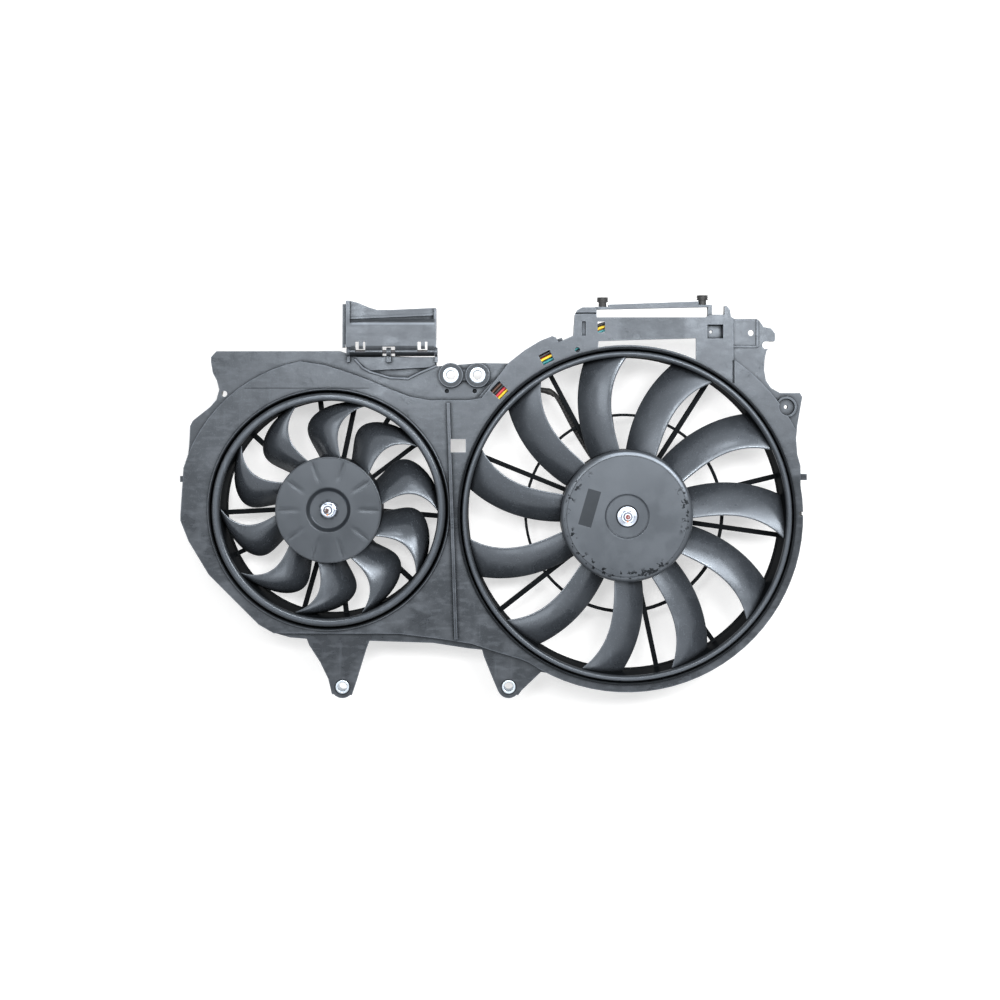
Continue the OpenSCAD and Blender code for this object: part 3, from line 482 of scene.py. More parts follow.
@dataclass(frozen=True)
class MouldedPlastic:
    """Glass-filled black plastic, with a fine grain, flow marks and dust, painted shade in its creases, deep
    places, folds and gaps, painted highlights on rolled edges, and edges lightened partly as wear and partly
    as a painted highlight.

    Attributes:
        name: The material's name.
        level: How light the plastic is, as a linear value.
        warmth: How far it leans towards brown.
        roughness: Its roughness where it is plain.
        gloss: Its specular level.
        grain: Height of the fine grain, in metres.
        grains_per_metre: How fine that grain is.
        waves: Height of the slow waves, in metres.
        edge: Radius given to sharp edges, in metres, or 0 for none.
        dust: How much dust and smear shows.
        scratches: How much the scratches show.
        crease: How far across a crease the painted shade reaches, in metres.
        crease_shade: How dark the painted shade in creases is.
        edge_wear_and_highlight: How light edges are made, partly as wear and partly as a painted highlight,
            or 0 for none.
        edge_reach: How far from an edge the wear and the painted highlight go, in metres.
        shade_from: Depth at which the painted shade behind the front starts, in millimetres.
        shade_to: Depth at which it is full, or 0 for none.
        shade: How dark the painted shade is there.
        marks: Lines and bands of painted shade at folds, gaps and steps.
        shines: Painted highlights along rolled edges.
        flow: Slow marks of the flow into the mould.
        cloud: Where dust lies.
        speck: Fine light grains.
        scratch: The scratches themselves.
        scratched: Where scratches are.
        smear: Streaks in the dust.
        rub: Where edges are worn.
    """

    name: str
    level: float = 0.05
    warmth: float = 0.0
    roughness: float = 0.42
    gloss: float = 0.8
    grain: float = 0.00004
    grains_per_metre: float = 1500.0
    waves: float = 0.0008
    edge: float = 0.0
    dust: float = 0.3
    scratches: float = 0.15
    crease: float = 0.005
    crease_shade: float = 0.85
    edge_wear_and_highlight: float = 0.0
    edge_reach: float = 0.0016
    shade_from: float = 0.0
    shade_to: float = 0.0
    shade: float = 0.85
    marks: tuple[Mark | Ring, ...] = ()
    shines: tuple[Mark | Ring, ...] = ()
    flow: Blotch = Blotch(9.0, 3.0, 0.35, 0.68)
    cloud: Blotch = Blotch(38.0, 5.0, 0.42, 0.66)
    speck: Blotch = Blotch(700.0, 2.0, 0.58, 0.70)
    scratch: Blotch = Blotch(240.0, 2.0, 0.61, 0.69, (1.0, 1.0, 0.06))
    scratched: Blotch = Blotch(30.0, 2.0, 0.46, 0.58)
    smear: Blotch = Blotch(170.0, 5.0, 0.48, 0.66, (0.4, 1.0, 1.0))
    rub: Blotch = Blotch(60.0, 3.0, 0.3, 0.55, least=0.4)

    def build(self) -> bpy.types.Material:
        """Makes the material: layers of colour and dust, edges lightened as wear and painted highlight,
        painted highlights on rolled edges, then painted shade in creases, behind the front and at the marks
        as one dark mask.

        Returns:
            The material.
        """
        g = Graph(self.name)
        flow, cloud, smear = self.flow.mask(g), self.cloud.mask(g), self.smear.mask(g)
        scratch = self.scratch.mask(g) * self.scratched.mask(g)
        fine = self.speck.mask(g) * 0.3 + scratch * self.scratches
        base = g.mix(flow * 0.45, grey(self.level, self.warmth), grey(self.level * 1.3, self.warmth + 0.02))
        dusty = g.mix(cloud * self.dust, base, grey(self.level * 2.2 + 0.03, self.warmth + 0.04))
        dusty = g.mix(smear * (self.dust * 0.6), dusty, grey(self.level * 2.2 + 0.06, self.warmth + 0.03))
        colour = g.mix(fine, dusty, grey(self.level * 3.2 + 0.03, self.warmth))
        rough = flow * 0.10 + cloud * 0.10 + smear * (self.dust * 0.2) + scratch * 0.08
        rough = rough + (self.roughness - 0.10)
        # Edges lightened, partly as wear and partly as a painted highlight along edge lines
        if self.edge_wear_and_highlight:
            edge = g.openness(self.edge_reach, True).fade(0.5, 0.9, 1, 0) * self.rub.mask(g)
            colour = g.mix(edge * self.edge_wear_and_highlight, colour, grey(self.level * 3.0 + 0.16, self.warmth))
        x, y, z = g.axes()
        # Painted highlights along rolled edges
        for shine in self.shines:
            colour = g.mix(shine.mask(x, y, z) * shine.strength, colour, grey(0.3, self.warmth))
        # Painted shade: creases turn matte and near black
        shade_and_wear = g.openness(self.crease).fade(0.5, 0.95, 1, 0) * self.crease_shade
        # Painted shade deeper behind the front
        if self.shade_to:
            shade_and_wear = shade_and_wear.most(y.fade(self.shade_from, self.shade_to) * self.shade)
        # Painted shade lines and bands at folds, gaps and steps
        for mark in self.marks:
            shade_and_wear = shade_and_wear.most(mark.mask(x, y, z) * mark.strength)
        under = g.rounded(self.edge) if self.edge else None
        waves = g.bump(g.noise(24.0, 3.0), self.waves, under)
        normal = g.bump(g.noise(self.grains_per_metre, 2.0), self.grain, waves)
        return g.moulding(shade_and_wear, self.gloss, Base_Color=colour, Roughness=rough, Normal=normal)


@dataclass(frozen=True)
class HubPlastic:
    """What the plastics of both hubs share.

    Attributes:
        name: The material's name.
        base: The plastic that it varies.
        centre: The hub's axis.
        rim: The hub's radius.
        flow: Slow marks of the flow into the mould.
        cloud: Where the plastic is a little lighter.
    """

    name: str
    base: MouldedPlastic
    centre: Spot
    rim: float
    flow: Blotch = field(default=Blotch(12.0, 3.0, 0.35, 0.68), kw_only=True)
    cloud: Blotch = field(default=Blotch(45.0, 5.0, 0.42, 0.66), kw_only=True)

    def clouded(self, g: Graph) -> tuple[Signal, Signal]:
        """Gives the plastic's colour and roughness, which both drift with the flow and the clouds.

        Args:
            g: The material's graph.

        Returns:
            The colour and the roughness.
        """
        flow, cloud, level = self.flow.mask(g), self.cloud.mask(g), self.base.level
        colour = g.mix(flow * 0.4 + cloud * 0.3, grey(level, self.base.warmth), grey(level * 1.35, 0.01))
        return colour, flow * 0.08 + cloud * 0.08 + (self.base.roughness - 0.05)

    def crease_shade(self, g: Graph) -> Signal:
        """Gives the painted shade in the hub's creases: 1 in a crease and 0 on its open faces."""
        return g.openness(self.base.crease).fade(0.45, 0.92, 1, 0)


@dataclass(frozen=True)
class ScuffedHub(HubPlastic):
    """The large hub's plastic: worn dark chips near its rim and a smooth bare rectangle on its face, a
    painted highlight on its rolled edge, and painted shade on its side, at its step and round its seat.

    Attributes:
        patch_at: The rectangle's middle.
        patch_half: Half its width and half its height.
        patch_turn: How far it is turned, in radians.
        patch_soft: The width over which its edge fades.
        chipped_at: The angle about the axis where most chips are, in degrees.
        highlight_at: The angle where a highlight is painted on the rolled edge.
        face_y: The depth before which the face counts as its front.
        side_y: The depth from which the side is in full painted shade.
        chips: The chips themselves.
        spread: Where else there are chips.
    """

    patch_at: Spot
    patch_half: Spot
    patch_turn: float
    patch_soft: float = 0.5
    chipped_at: float = 238.0
    highlight_at: float = 68.0
    face_y: float = -12.0
    side_y: float = -8.0
    chips: Blotch = Blotch(210.0, 3.0, 0.56, 0.575)
    spread: Blotch = Blotch(13.0, 1.0, 0.52, 0.58)

    def patch(self, x: Signal, z: Signal) -> Signal:
        """Gives 1 on the rectangle: the product of a fade along each of its two turned axes.

        Args:
            x: The point's distance to the right, in millimetres.
            z: Its height up the sheet.

        Returns:
            The mask.
        """
        c, s = math.cos(self.patch_turn), math.sin(self.patch_turn)
        dx, dz = x - self.patch_at[0], z - self.patch_at[1]
        along, over = abs(dx * c + dz * s), abs(dz * c - dx * s)
        soft, (half_wide, half_high) = self.patch_soft, self.patch_half
        return along.fade(half_wide - soft, half_wide, 1, 0) * over.fade(half_high - soft, half_high, 1, 0)

    def build(self) -> bpy.types.Material:
        """Makes the material: chips are noise kept to a ring, and the patch is a turned rectangle.

        Returns:
            The material.
        """
        g = Graph(self.name)
        x, y, z = g.axes()
        radius, turn = distance(x, z, self.centre), bearing(x, z, self.centre)
        near_rim = radius.fade(self.rim - 15, self.rim - 10) * radius.fade(self.rim - 5, self.rim - 3, 1, 0)
        chipped = g.maths("COSINE", turn - math.radians(self.chipped_at)).fade(0.35, 0.8)
        chips = self.chips.mask(g) * near_rim * chipped.most(self.spread.mask(g) * 0.9)
        # A painted highlight on the rolled edge's front, strongest at one angle
        lit = g.maths("COSINE", turn - math.radians(self.highlight_at)).fade(0.55, 0.9)
        roll = Ring(self.centre, self.rim - 4.6, self.rim - 3.4, soft=1.3).mask(x, y, z)
        patch = self.patch(x, z) * radius.fade(self.rim - 3, self.rim - 2, 1, 0)
        colour, rough = self.clouded(g)
        colour = g.mix(roll * lit * (y < self.face_y) * 0.5, colour, grey(0.5))
        # Painted shade on the side, at the dish's step and round the nut's seat; the chips and bare patch are
        # darker too
        side = y.fade(self.face_y, self.side_y) * (radius > self.rim - 2.0)
        step = Ring(self.centre, 22.4, 24.2).mask(x, y, z)
        seat = radius.fade(11.8, 13.0, 1, 0).most(step * 0.4)
        shade_and_wear = (chips * 0.9).most(patch * 0.6).most(self.crease_shade(g) * 0.8).most(side * 0.8).most(seat * 0.8)
        height = g.noise(self.base.grains_per_metre, 2.0) * (1 - patch) - chips * 3.0 - patch * 1.5
        return g.moulding(
            shade_and_wear, self.base.gloss, Base_Color=colour, Roughness=rough, Normal=g.bump(height, self.base.grain)
        )


@dataclass(frozen=True)
class RibbedHub(HubPlastic):
    """The small hub's plastic, with a streak of painted shade over each rib behind its face.

    Attributes:
        ribs: How many ribs there are.
        streak_half: Half the width of a streak.
        face_y: The depth before which the face counts as its front.
        side_y: The depths between which the side falls into painted shade.
        seat_blotch: Where the ring round the nut's seat is darkened, in blotches.
    """

    ribs: int
    streak_half: float = 1.7
    face_y: float = -16.0
    side_y: Spot = (-15.5, -12.0)
    seat_blotch: Blotch = Blotch(260.0, 3.0, 0.4, 0.6)

    def build(self) -> bpy.types.Material:
        """Makes the material: a streak of painted shade is where the arc's distance to the nearest rib is
        small.

        The angle is counted in ribs, with half a rib and a whole turn added, so that its fraction is 0.5 on a
        rib and never comes from a negative number.

        Returns:
            The material.
        """
        g = Graph(self.name)
        x, y, z = g.axes()
        radius = distance(x, z, self.centre)
        turn = bearing(x, z, self.centre) * (self.ribs / (2 * math.pi)) + (self.ribs + 0.5)
        off = abs(g.maths("FRACT", turn) - 0.5) * radius * (2 * math.pi / self.ribs)
        span = radius.fade(self.rim - 24, self.rim - 8) * radius.fade(self.rim - 4, self.rim - 2, 1, 0)
        streak = off.fade(0.2, self.streak_half, 1, 0) * span * (y < self.face_y)
        colour, rough = self.clouded(g)
        # Painted shade on the side and at the dish's step
        side = y.fade(*self.side_y) * (radius > self.rim - 2.0)
        step = radius.fade(19.5, 21.5) * radius.fade(23.2, 24.6, 1, 0)
        # The ring round the nut's seat darkened in blotches
        seat = radius.fade(9.6, 12.5, 1, 0) * self.seat_blotch.mask(g)
        shade_and_wear = (streak * 0.3).most(self.crease_shade(g) * 0.8).most(side * 0.8).most(step * 0.6).most(seat * 0.6)
        return g.moulding(
            shade_and_wear, self.base.gloss, Base_Color=colour, Roughness=rough,
            Normal=g.bump(g.noise(self.base.grains_per_metre, 2.0), self.base.grain),
        )


@dataclass(frozen=True)
class Steel:
    """Bare or plated steel, turned, drawn or stamped."""

    name: str
    colour: Colour
    roughness: float = 0.3
    stain: Colour = (0.2, 0.16, 0.12)
    stained: float = 0.15
    lines: tuple[float, float, float] = (1, 1, 1)
    lines_per_metre: float = 1400.0
    crease: float = 0.0022
    spots: Blotch = Blotch(60.0, 4.0, 0.55, 0.72)

    def build(self) -> bpy.types.Material:
        """Makes the material: streaks along the working direction, a few stains and painted shade in the
        creases.

        Returns:
            The material.
        """
        g = Graph(self.name)
        streak = g.noise(self.lines_per_metre, 2.0, self.lines)
        stain = self.spots.mask(g)
        colour = g.mix(stain * self.stained, self.colour, self.stain)
        colour = g.mix(streak.fade(0.35, 0.65) * 0.25, colour, darker(self.colour, 0.8))
        # Painted shade in the creases
        crease_shade = g.openness(self.crease).fade(0.4, 0.9, 1, 0)
        colour = g.mix(crease_shade * 0.7, colour, darker(self.colour, 0.15))
        rough = streak * 0.25 + stain * 0.2 + (self.roughness - 0.12)
        return g.surface(Base_Color=colour, Metallic=1.0, Roughness=rough, Normal=g.bump(streak, 0.00002))


@dataclass(frozen=True)
class PlatedNut:
    """Blue-white zinc plate with rings of painted shade where the nut's levels meet, and a drop of locking
    paint.

    Attributes:
        name: The material's name.
        axis: The nut's axis.
        colour: The plate's colour.
        shaded: Its colour in the rings of painted shade.
        paint: The paint's colour.
        rings: The rings of painted shade, each an inner radius, an outer radius and a strength.
        drop_off: Where the drop is, from the axis.
        drop_r: The drop's radius.
    """

    name: str
    axis: Spot
    colour: Colour = (0.62, 0.68, 0.78)
    shaded: Colour = (0.14, 0.17, 0.24)
    paint: Colour = (0.75, 0.3, 0.12)
    rings: tuple[tuple[float, float, float], ...] = (
        (4.0, 4.8, 0.8), (6.7, 7.3, 0.5), (8.2, 8.6, 0.45), (9.5, 9.8, 0.3),
    )
    drop_off: Spot = (-0.4, -4.9)
    drop_r: float = 0.9

    def build(self) -> bpy.types.Material:
        """Makes the material: the plate darkens by the strongest of its streaks and its rings of painted
        shade.

        Returns:
            The material.
        """
        g = Graph(self.name)
        x, y, z = g.axes()
        streak = g.noise(900.0, 2.0)
        dark = streak.fade(0.45, 0.7) * 0.3
        for inner, outer, strength in self.rings:
            dark = dark.most(Ring(self.axis, inner, outer, soft=0.4).mask(x, y, z) * strength)
        colour = g.mix(dark, self.colour, self.shaded)
        spot = (self.axis[0] + self.drop_off[0], self.axis[1] + self.drop_off[1])
        drop = Ring(spot, 0.0, self.drop_r, soft=0.4).mask(x, y, z)
        colour = g.mix(drop, colour, self.paint)
        return g.surface(
            Base_Color=colour, Metallic=1.0 - drop * 0.8, Roughness=streak * 0.2 + dark * 0.2 + 0.2,
            Normal=g.bump(streak, 0.00002),
        )


@dataclass(frozen=True)
class LockedShaft:
    """Ground steel whose threaded end carries dark red locking paint.

    Attributes:
        name: The material's name.
        axis: The shaft's axis.
        off: Where the paint's middle is, from the axis.
        reach: The paint's radius.
        paint: Its colour.
        steel: The steel's colour.
        front: The depth before which the shaft may carry paint.
        thick: Where the paint covers the steel.
    """

    name: str
    axis: Spot
    off: Spot
    reach: float
    paint: Colour
    steel: Colour = (0.62, 0.64, 0.68)
    front: float = -20.5
    thick: Blotch = Blotch(420.0, 3.0, 0.30, 0.42)

    def build(self) -> bpy.types.Material:
        """Makes the material: paint round a point of the shaft's end, thinner where the noise is low.

        Returns:
            The material.
        """
        g = Graph(self.name)
        x, y, z = g.axes()
        spot = (self.axis[0] + self.off[0], self.axis[1] + self.off[1])
        blot = Ring(spot, 0.0, self.reach, soft=0.6).mask(x, y, z) * (y < self.front)
        blot = blot * self.thick.mask(g)
        streak = g.noise(1400.0, 2.0, (1, 0.05, 1))
        colour = g.mix(blot, self.steel, self.paint)
        return g.surface(
            Base_Color=colour, Metallic=1.0 - blot, Roughness=streak * 0.2 + blot * 0.2 + 0.2,
            Normal=g.bump(streak + blot, 0.00003),
        )


@dataclass(frozen=True)
class Coated:
    """Rubber, insulation, enamel or resin: one colour with a fine skin and some wear."""

    name: str
    colour: Colour
    worn: Colour
    roughness: float = 0.5
    skin: float = 0.00004
    per_metre: float = 900.0
    metallic: float = 0.0
    wear: Blotch = Blotch(70.0, 4.0, 0.45, 0.7)

    def build(self) -> bpy.types.Material:
        """Makes the material: the colour turns worn, and a little rougher, where the wear is.

        Returns:
            The material.
        """
        g = Graph(self.name)
        wear = self.wear.mask(g)
        fine = g.noise(self.per_metre, 3.0)
        colour = g.mix(wear * 0.45, self.colour, self.worn)
        rough = wear * 0.12 + fine * 0.1 + (self.roughness - 0.08)
        return g.surface(
            Base_Color=colour, Roughness=rough, Metallic=self.metallic, Normal=g.bump(fine, self.skin)
        )


@dataclass(frozen=True)
class Braid:
    """The woven sleeve of a lead, crossed threads that follow the piece's own UV map."""

    name: str
    colour: Colour = (0.012, 0.012, 0.013)
    thread: Colour = (0.05, 0.05, 0.052)
    turns: float = 5.0
    pitch: float = 0.004

    def build(self) -> bpy.types.Material:
        """Makes the material: two sets of slanted threads, one over the other.

        Returns:
            The material.
        """
        g = Graph(self.name)
        around, along, _ = g.split(g.node("ShaderNodeTexCoord", {}, {}, "UV"))
        one = g.maths("PINGPONG", around * self.turns + along / self.pitch, 0.5) * 2
        two = g.maths("PINGPONG", around * self.turns - along / self.pitch, 0.5) * 2
        weave = one.most(two) ** 1.5
        colour = g.mix(weave.fade(0.35, 0.9), self.colour, self.thread)
        return g.surface(Base_Color=colour, Roughness=0.55, Normal=g.bump(weave, 0.0003))


# Painted shade in the gaps round both bands, along the fold over the small fan, down the right edge, on the
# bracket and round the bores' seats
SHROUD_SHADE_MARKS = (
    Ring(LARGE_AXIS, 182.0, 184.0, 0.88),
    Ring(SMALL_AXIS, 129.4, 131.0, 0.85),
    Mark(-196, -62, 328.2, 329.0, 0.5),
    Mark(388, 430, 24, 232, 0.3, 3.0),
    Mark(216, 281, 383, 405.5, 0.22, 1.5),
    *(Ring(bore, 8.8, 12.2, 0.5) for bore in UPPER_BORES),
    *(Ring(bore, 7.7, 8.6, 0.7) for bore in FEET_BORES),
)

# Painted shade in the groove under the flap's top edge, along the fold over its hinge, and over and under the
# pin
FLAP_SHADE_MARKS = (
    Mark(-81, 9, 401.4, 404.0, 0.75, 0.8),
    Mark(-80, 9, 374.0, 374.8, 0.6),
    Mark(-90, 10, 371.0, 373.6, 0.7, 0.8),
    Mark(-90, 10, 363.4, 367.4, 0.8, 1.2),
)


class Kind(Enum):
    """The finishes of the object."""

    # The shroud: painted shade behind the front and at its marks, edges lightened partly as wear and partly
    # as a painted highlight
    SHROUD = MouldedPlastic(
        "shroud_plastic", 0.02, 0.0, 0.35, 0.64, edge=0.0009, dust=0.4, edge_wear_and_highlight=0.5, shade_from=8, shade_to=20,
        shade=0.96, marks=SHROUD_SHADE_MARKS,
    )
    # The fans: painted shade behind the front and on the band's inner wall, the lip darkened, and a painted
    # highlight along it
    SMALL_FAN = MouldedPlastic(
        "small_fan_plastic", 0.038, -0.01, 0.28, 0.95, grain=0.00002, waves=0.0004, dust=0.05, crease=0.006,
        shade_from=-8, shade_to=26, shade=0.65,
        marks=(Ring(SMALL_AXIS, 118.0, 128.6, 0.45, 1.0), Ring(SMALL_AXIS, 118.0, 119.6, 0.96, behind=-13.0)),
        shines=(Ring(SMALL_AXIS, 122.6, 123.4, 0.4, 2.2),),
    )
    LARGE_FAN = MouldedPlastic(
        "large_fan_plastic", 0.045, -0.01, 0.30, 0.95, grain=0.00002, waves=0.0004, dust=0.05, crease=0.006,
        shade_from=-8, shade_to=28, shade=0.6,
        marks=(Ring(LARGE_AXIS, 173.0, 181.0, 0.5, 1.0), Ring(LARGE_AXIS, 173.0, 174.6, 0.96, behind=-13.0)),
        shines=(Ring(LARGE_AXIS, 177.2, 177.8, 0.4, 1.8),),
    )
    # The flap: painted shade at its marks, edges lightened as wear and painted highlight, and a painted
    # highlight under the groove
    FLAP = MouldedPlastic(
        "flap_plastic", 0.02, 0.0, 0.38, 0.7, edge=0.0006, dust=0.5, edge_wear_and_highlight=0.5, marks=FLAP_SHADE_MARKS,
        shines=(Mark(-79, 9, 398.6, 399.6, 0.45, 0.6),),
    )
    CAP = MouldedPlastic("cap_plastic", 0.02, 0.0, 0.5, edge=0.0005)
    CARD = MouldedPlastic("card_resin", 0.12, 0.2, 0.55)
    ZINC = Steel("zinc_plate", (0.6, 0.64, 0.7), 0.28, stained=0.05)
    SLEEVE = Steel("sleeve_zinc", (0.50, 0.56, 0.62), 0.4, stained=0.1)
    SMALL_SHAFT = LockedShaft("small_shaft_steel", SMALL_AXIS, (-1.2, -0.4), 2.5, (0.05, 0.022, 0.018))
    LARGE_SHAFT = LockedShaft("large_shaft_steel", LARGE_AXIS, (0.0, 0.0), 2.3, (0.17, 0.03, 0.03))
    BEARING = Steel("bearing_steel", (0.55, 0.54, 0.53), 0.3)
    PIN = Steel("pin_steel", (0.06, 0.06, 0.065), 0.45, stained=0.2)
    CAN = Steel("can_steel", (0.33, 0.34, 0.36), 0.38, stained=0.3, lines=(1, 0.05, 1))
    CORE = Steel("core_steel", (0.3, 0.3, 0.32), 0.5, lines=(0.05, 4, 0.05))
    MAGNET = Coated("ferrite", (0.04, 0.04, 0.043), (0.09, 0.085, 0.08), 0.6)
    COPPER = Coated("copper", (0.62, 0.24, 0.10), (0.45, 0.16, 0.07), 0.35, metallic=0.9)
    CARBON = Coated("brush_carbon", (0.02, 0.02, 0.021), (0.05, 0.05, 0.05), 0.6)
    RUBBER = Coated("buffer_rubber", (0.012, 0.012, 0.012), (0.03, 0.03, 0.03), 0.6)
    BROWN = Coated("insulation_brown", (0.06, 0.022, 0.01), (0.10, 0.05, 0.03), 0.4)
    BLACK = Coated("insulation_black", (0.01, 0.01, 0.01), (0.03, 0.03, 0.03), 0.4)
    RED = Coated("insulation_red", (0.55, 0.04, 0.06), (0.35, 0.04, 0.05), 0.4)
    YELLOW = Coated("insulation_yellow", (0.8, 0.55, 0.02), (0.6, 0.42, 0.05), 0.4)
    GREEN = Coated("insulation_green", (0.02, 0.22, 0.24), (0.03, 0.14, 0.15), 0.4)
    SLEEVING = Braid("lead_sleeving")


class Paintbox:
    """Makes each finish once and puts it on objects."""

    def __init__(self) -> None:
        """Starts with no material made."""
        self.made: dict[str, bpy.types.Material] = {}

    def get(self, finish: Finish | Kind) -> bpy.types.Material:
        """Gives the material of a finish, making it at its first use.

        Args:
            finish: The finish, or the member of Kind that holds it.

        Returns:
            The material.
        """
        finish = finish.value if isinstance(finish, Kind) else finish
        if finish.name not in self.made:
            self.made[finish.name] = finish.build()
        return self.made[finish.name]

    def dress(self, obj: bpy.types.Object, finish: Finish | Kind) -> None:
        """Gives the object that finish alone."""
        obj.data.materials.clear()
        obj.data.materials.append(self.get(finish))


PAINT = Paintbox()


def dress_nodes(finishes: Mapping[str, Kind]) -> None:
    """Gives nodes that keep their own shape a finish each and reports them.

    Args:
        finishes: The finish of each node, by the node's name.
    """
    for node, finish in finishes.items():
        PAINT.dress(frame["nodes"][node], finish)
        LOG.info("%s: keeps its shape, in %s", node, finish.value.name)


# Shapes


def stand(x: Array | float, z: Array | float, w: Array | float) -> Array:
    """Turns sheet coordinates in millimetres into points of the frame in metres.

    Args:
        x: Distance to the right.
        z: Height up the sheet.
        w: Height towards the viewer.

    Returns:
        Points, with the last axis x, y and z.
    """
    x, z, w = np.broadcast_arrays(np.asarray(x, float), z, w)
    return np.stack([x, -w, z], axis=-1) * MM


@dataclass
class Sheets:
    """Collects grids of points and joins them into one mesh."""

    points: list[Array] = field(default_factory=list)
    quads: list[Array] = field(default_factory=list)
    caps: list[Array] = field(default_factory=list)
    maps: list[Array] = field(default_factory=list)
    count: int = 0

    def add(self, grid: Array, round_v: bool = False, cap: bool = False) -> None:
        """Adds a grid of points (rows, columns, 3), joined row to row, each row closing on itself.

        The piece's own UV map counts turns round a row in u, and metres along the first column in v.

        Args:
            grid: The points.
            round_v: Whether the last row joins the first.
            cap: Whether the first and last rows are filled in.
        """
        rows, columns = grid.shape[:2]
        r = np.arange(rows if round_v else rows - 1)[:, None]
        c = np.arange(columns)[None, :]
        a = r * columns + c
        b = r * columns + (c + 1) % columns
        d = (r + 1) % rows * columns + c
        e = (r + 1) % rows * columns + (c + 1) % columns
        quads = np.stack([a, b, e, d], axis=-1).reshape(-1, 4)
        u = np.broadcast_to(c / columns, a.shape)
        u1 = np.broadcast_to((c + 1) / columns, a.shape)
        step = np.linalg.norm(np.diff(grid[:, 0], axis=0), axis=1)
        run = np.concatenate([[0.0], np.cumsum(step), [0.0]])
        v = np.broadcast_to(run[r], a.shape)
        v1 = np.broadcast_to(run[r + 1], a.shape)
        uv = np.stack([u, v, u1, v, u1, v1, u, v1], axis=-1).reshape(-1, 4, 2)
        self.points.append(grid.reshape(-1, 3))
        self.quads.append(quads + self.count)
        self.maps.append(uv)
        if cap:
            ends = [np.arange(columns)[::-1], (rows - 1) * columns + np.arange(columns)]
            self.caps += [end + self.count for end in ends]
        self.count += rows * columns

    def build(self, name: str, finish: Finish | Kind, body: str, smooth: float = 35.0) -> bpy.types.Object:
        """Makes the object and hangs it on a body.

        Args:
            name: The piece's name.
            finish: Its finish.
            body: The body that it rides on.
            smooth: Edges sharper than this, in degrees, stay sharp.

        Returns:
            The object.
        """
        points = np.concatenate(self.points)
        quads = np.concatenate(self.quads)
        loops = np.concatenate([quads.reshape(-1), *self.caps]).astype(np.int32)
        sizes = np.concatenate([np.full(len(quads), 4), [len(c) for c in self.caps]]).astype(np.int32)
        mesh = bpy.data.meshes.new(name)
        mesh.vertices.add(len(points))
        mesh.vertices.foreach_set("co", points.reshape(-1).astype(np.float32))
        mesh.loops.add(len(loops))
        mesh.loops.foreach_set("vertex_index", loops)
        mesh.polygons.add(len(sizes))
        mesh.polygons.foreach_set("loop_start", np.concatenate([[0], np.cumsum(sizes)[:-1]]).astype(np.int32))
        mesh.polygons.foreach_set("loop_total", sizes)
        mesh.update(calc_edges=True)
        layer = mesh.uv_layers.new(name="surface")
        flat = np.zeros((len(loops), 2), np.float32)
        flat[: len(quads) * 4] = np.concatenate(self.maps).reshape(-1, 2)
        layer.uv.foreach_set("vector", flat.reshape(-1))
        mesh.validate()
        mesh.shade_smooth()
        mesh.set_sharp_from_angle(angle=math.radians(smooth))
        obj = bpy.data.objects.new(name, mesh)
        bpy.context.scene.collection.objects.link(obj)
        PAINT.dress(obj, finish)
        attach(obj, body)
        LOG.info("%s: %d faces", name, len(sizes))
        return obj


def revolve(
    profile: Array,
    centre: Sequence[float],
    steps: int,
    warp: Callable[[Array, Array, Array], Array] | None = None,
) -> Array:
    """Turns a closed profile about an axis that points at the viewer.

    Args:
        profile: Points (radius, w), anticlockwise with the radius to the right.
        centre: The axis, as (x, z).
        steps: Points round the circle.
        warp: Changes w, given radius, angle and w.

    Returns:
        A grid that closes both ways: row k is the profile at angle k / steps of a turn.
    """
    turn = 2 * np.pi * np.arange(steps)[:, None] / steps
    radius = np.broadcast_to(profile[:, 0], (steps, len(profile)))
    w = np.broadcast_to(profile[:, 1], (steps, len(profile)))
    if warp is not None:
        w = warp(radius, np.broadcast_to(turn, radius.shape), w)
    return stand(centre[0] + radius * np.cos(turn), centre[1] + radius * np.sin(turn), w)


def rounded(corners: Sequence[tuple[float, float, float]], steps: int = 5) -> Array:
    """Rounds the corners of a closed outline.

    Each corner is cut back by its radius over the tangent of half its angle, and a circle of that radius
    joins the cuts.

    Args:
        corners: Points (x, y, radius).
        steps: Spans in each rounding.

    Returns:
        The outline's points.
    """
    spots = np.array([c[:2] for c in corners], float)
    out: list[Array] = []
    for k, (x, y, radius) in enumerate(corners):
        here = np.array([x, y], float)
        back = spots[k - 1] - here
        ahead = spots[(k + 1) % len(spots)] - here
        back, ahead = back / np.linalg.norm(back), ahead / np.linalg.norm(ahead)
        if radius <= 0:
            out.append(here[None])
            continue
        half = 0.5 * math.acos(float(np.clip(back @ ahead, -1, 1)))
        cut = radius / math.tan(half)
        middle = here + (back + ahead) / np.linalg.norm(back + ahead) * radius / math.sin(half)
        first, last = here + back * cut - middle, here + ahead * cut - middle
        turn = np.linspace(0, 1, steps + 1)[:, None]
        span = math.pi - 2 * half
        out.append(middle + (np.sin((1 - turn) * span) * first + np.sin(turn * span) * last) / math.sin(span))
    return np.concatenate(out)


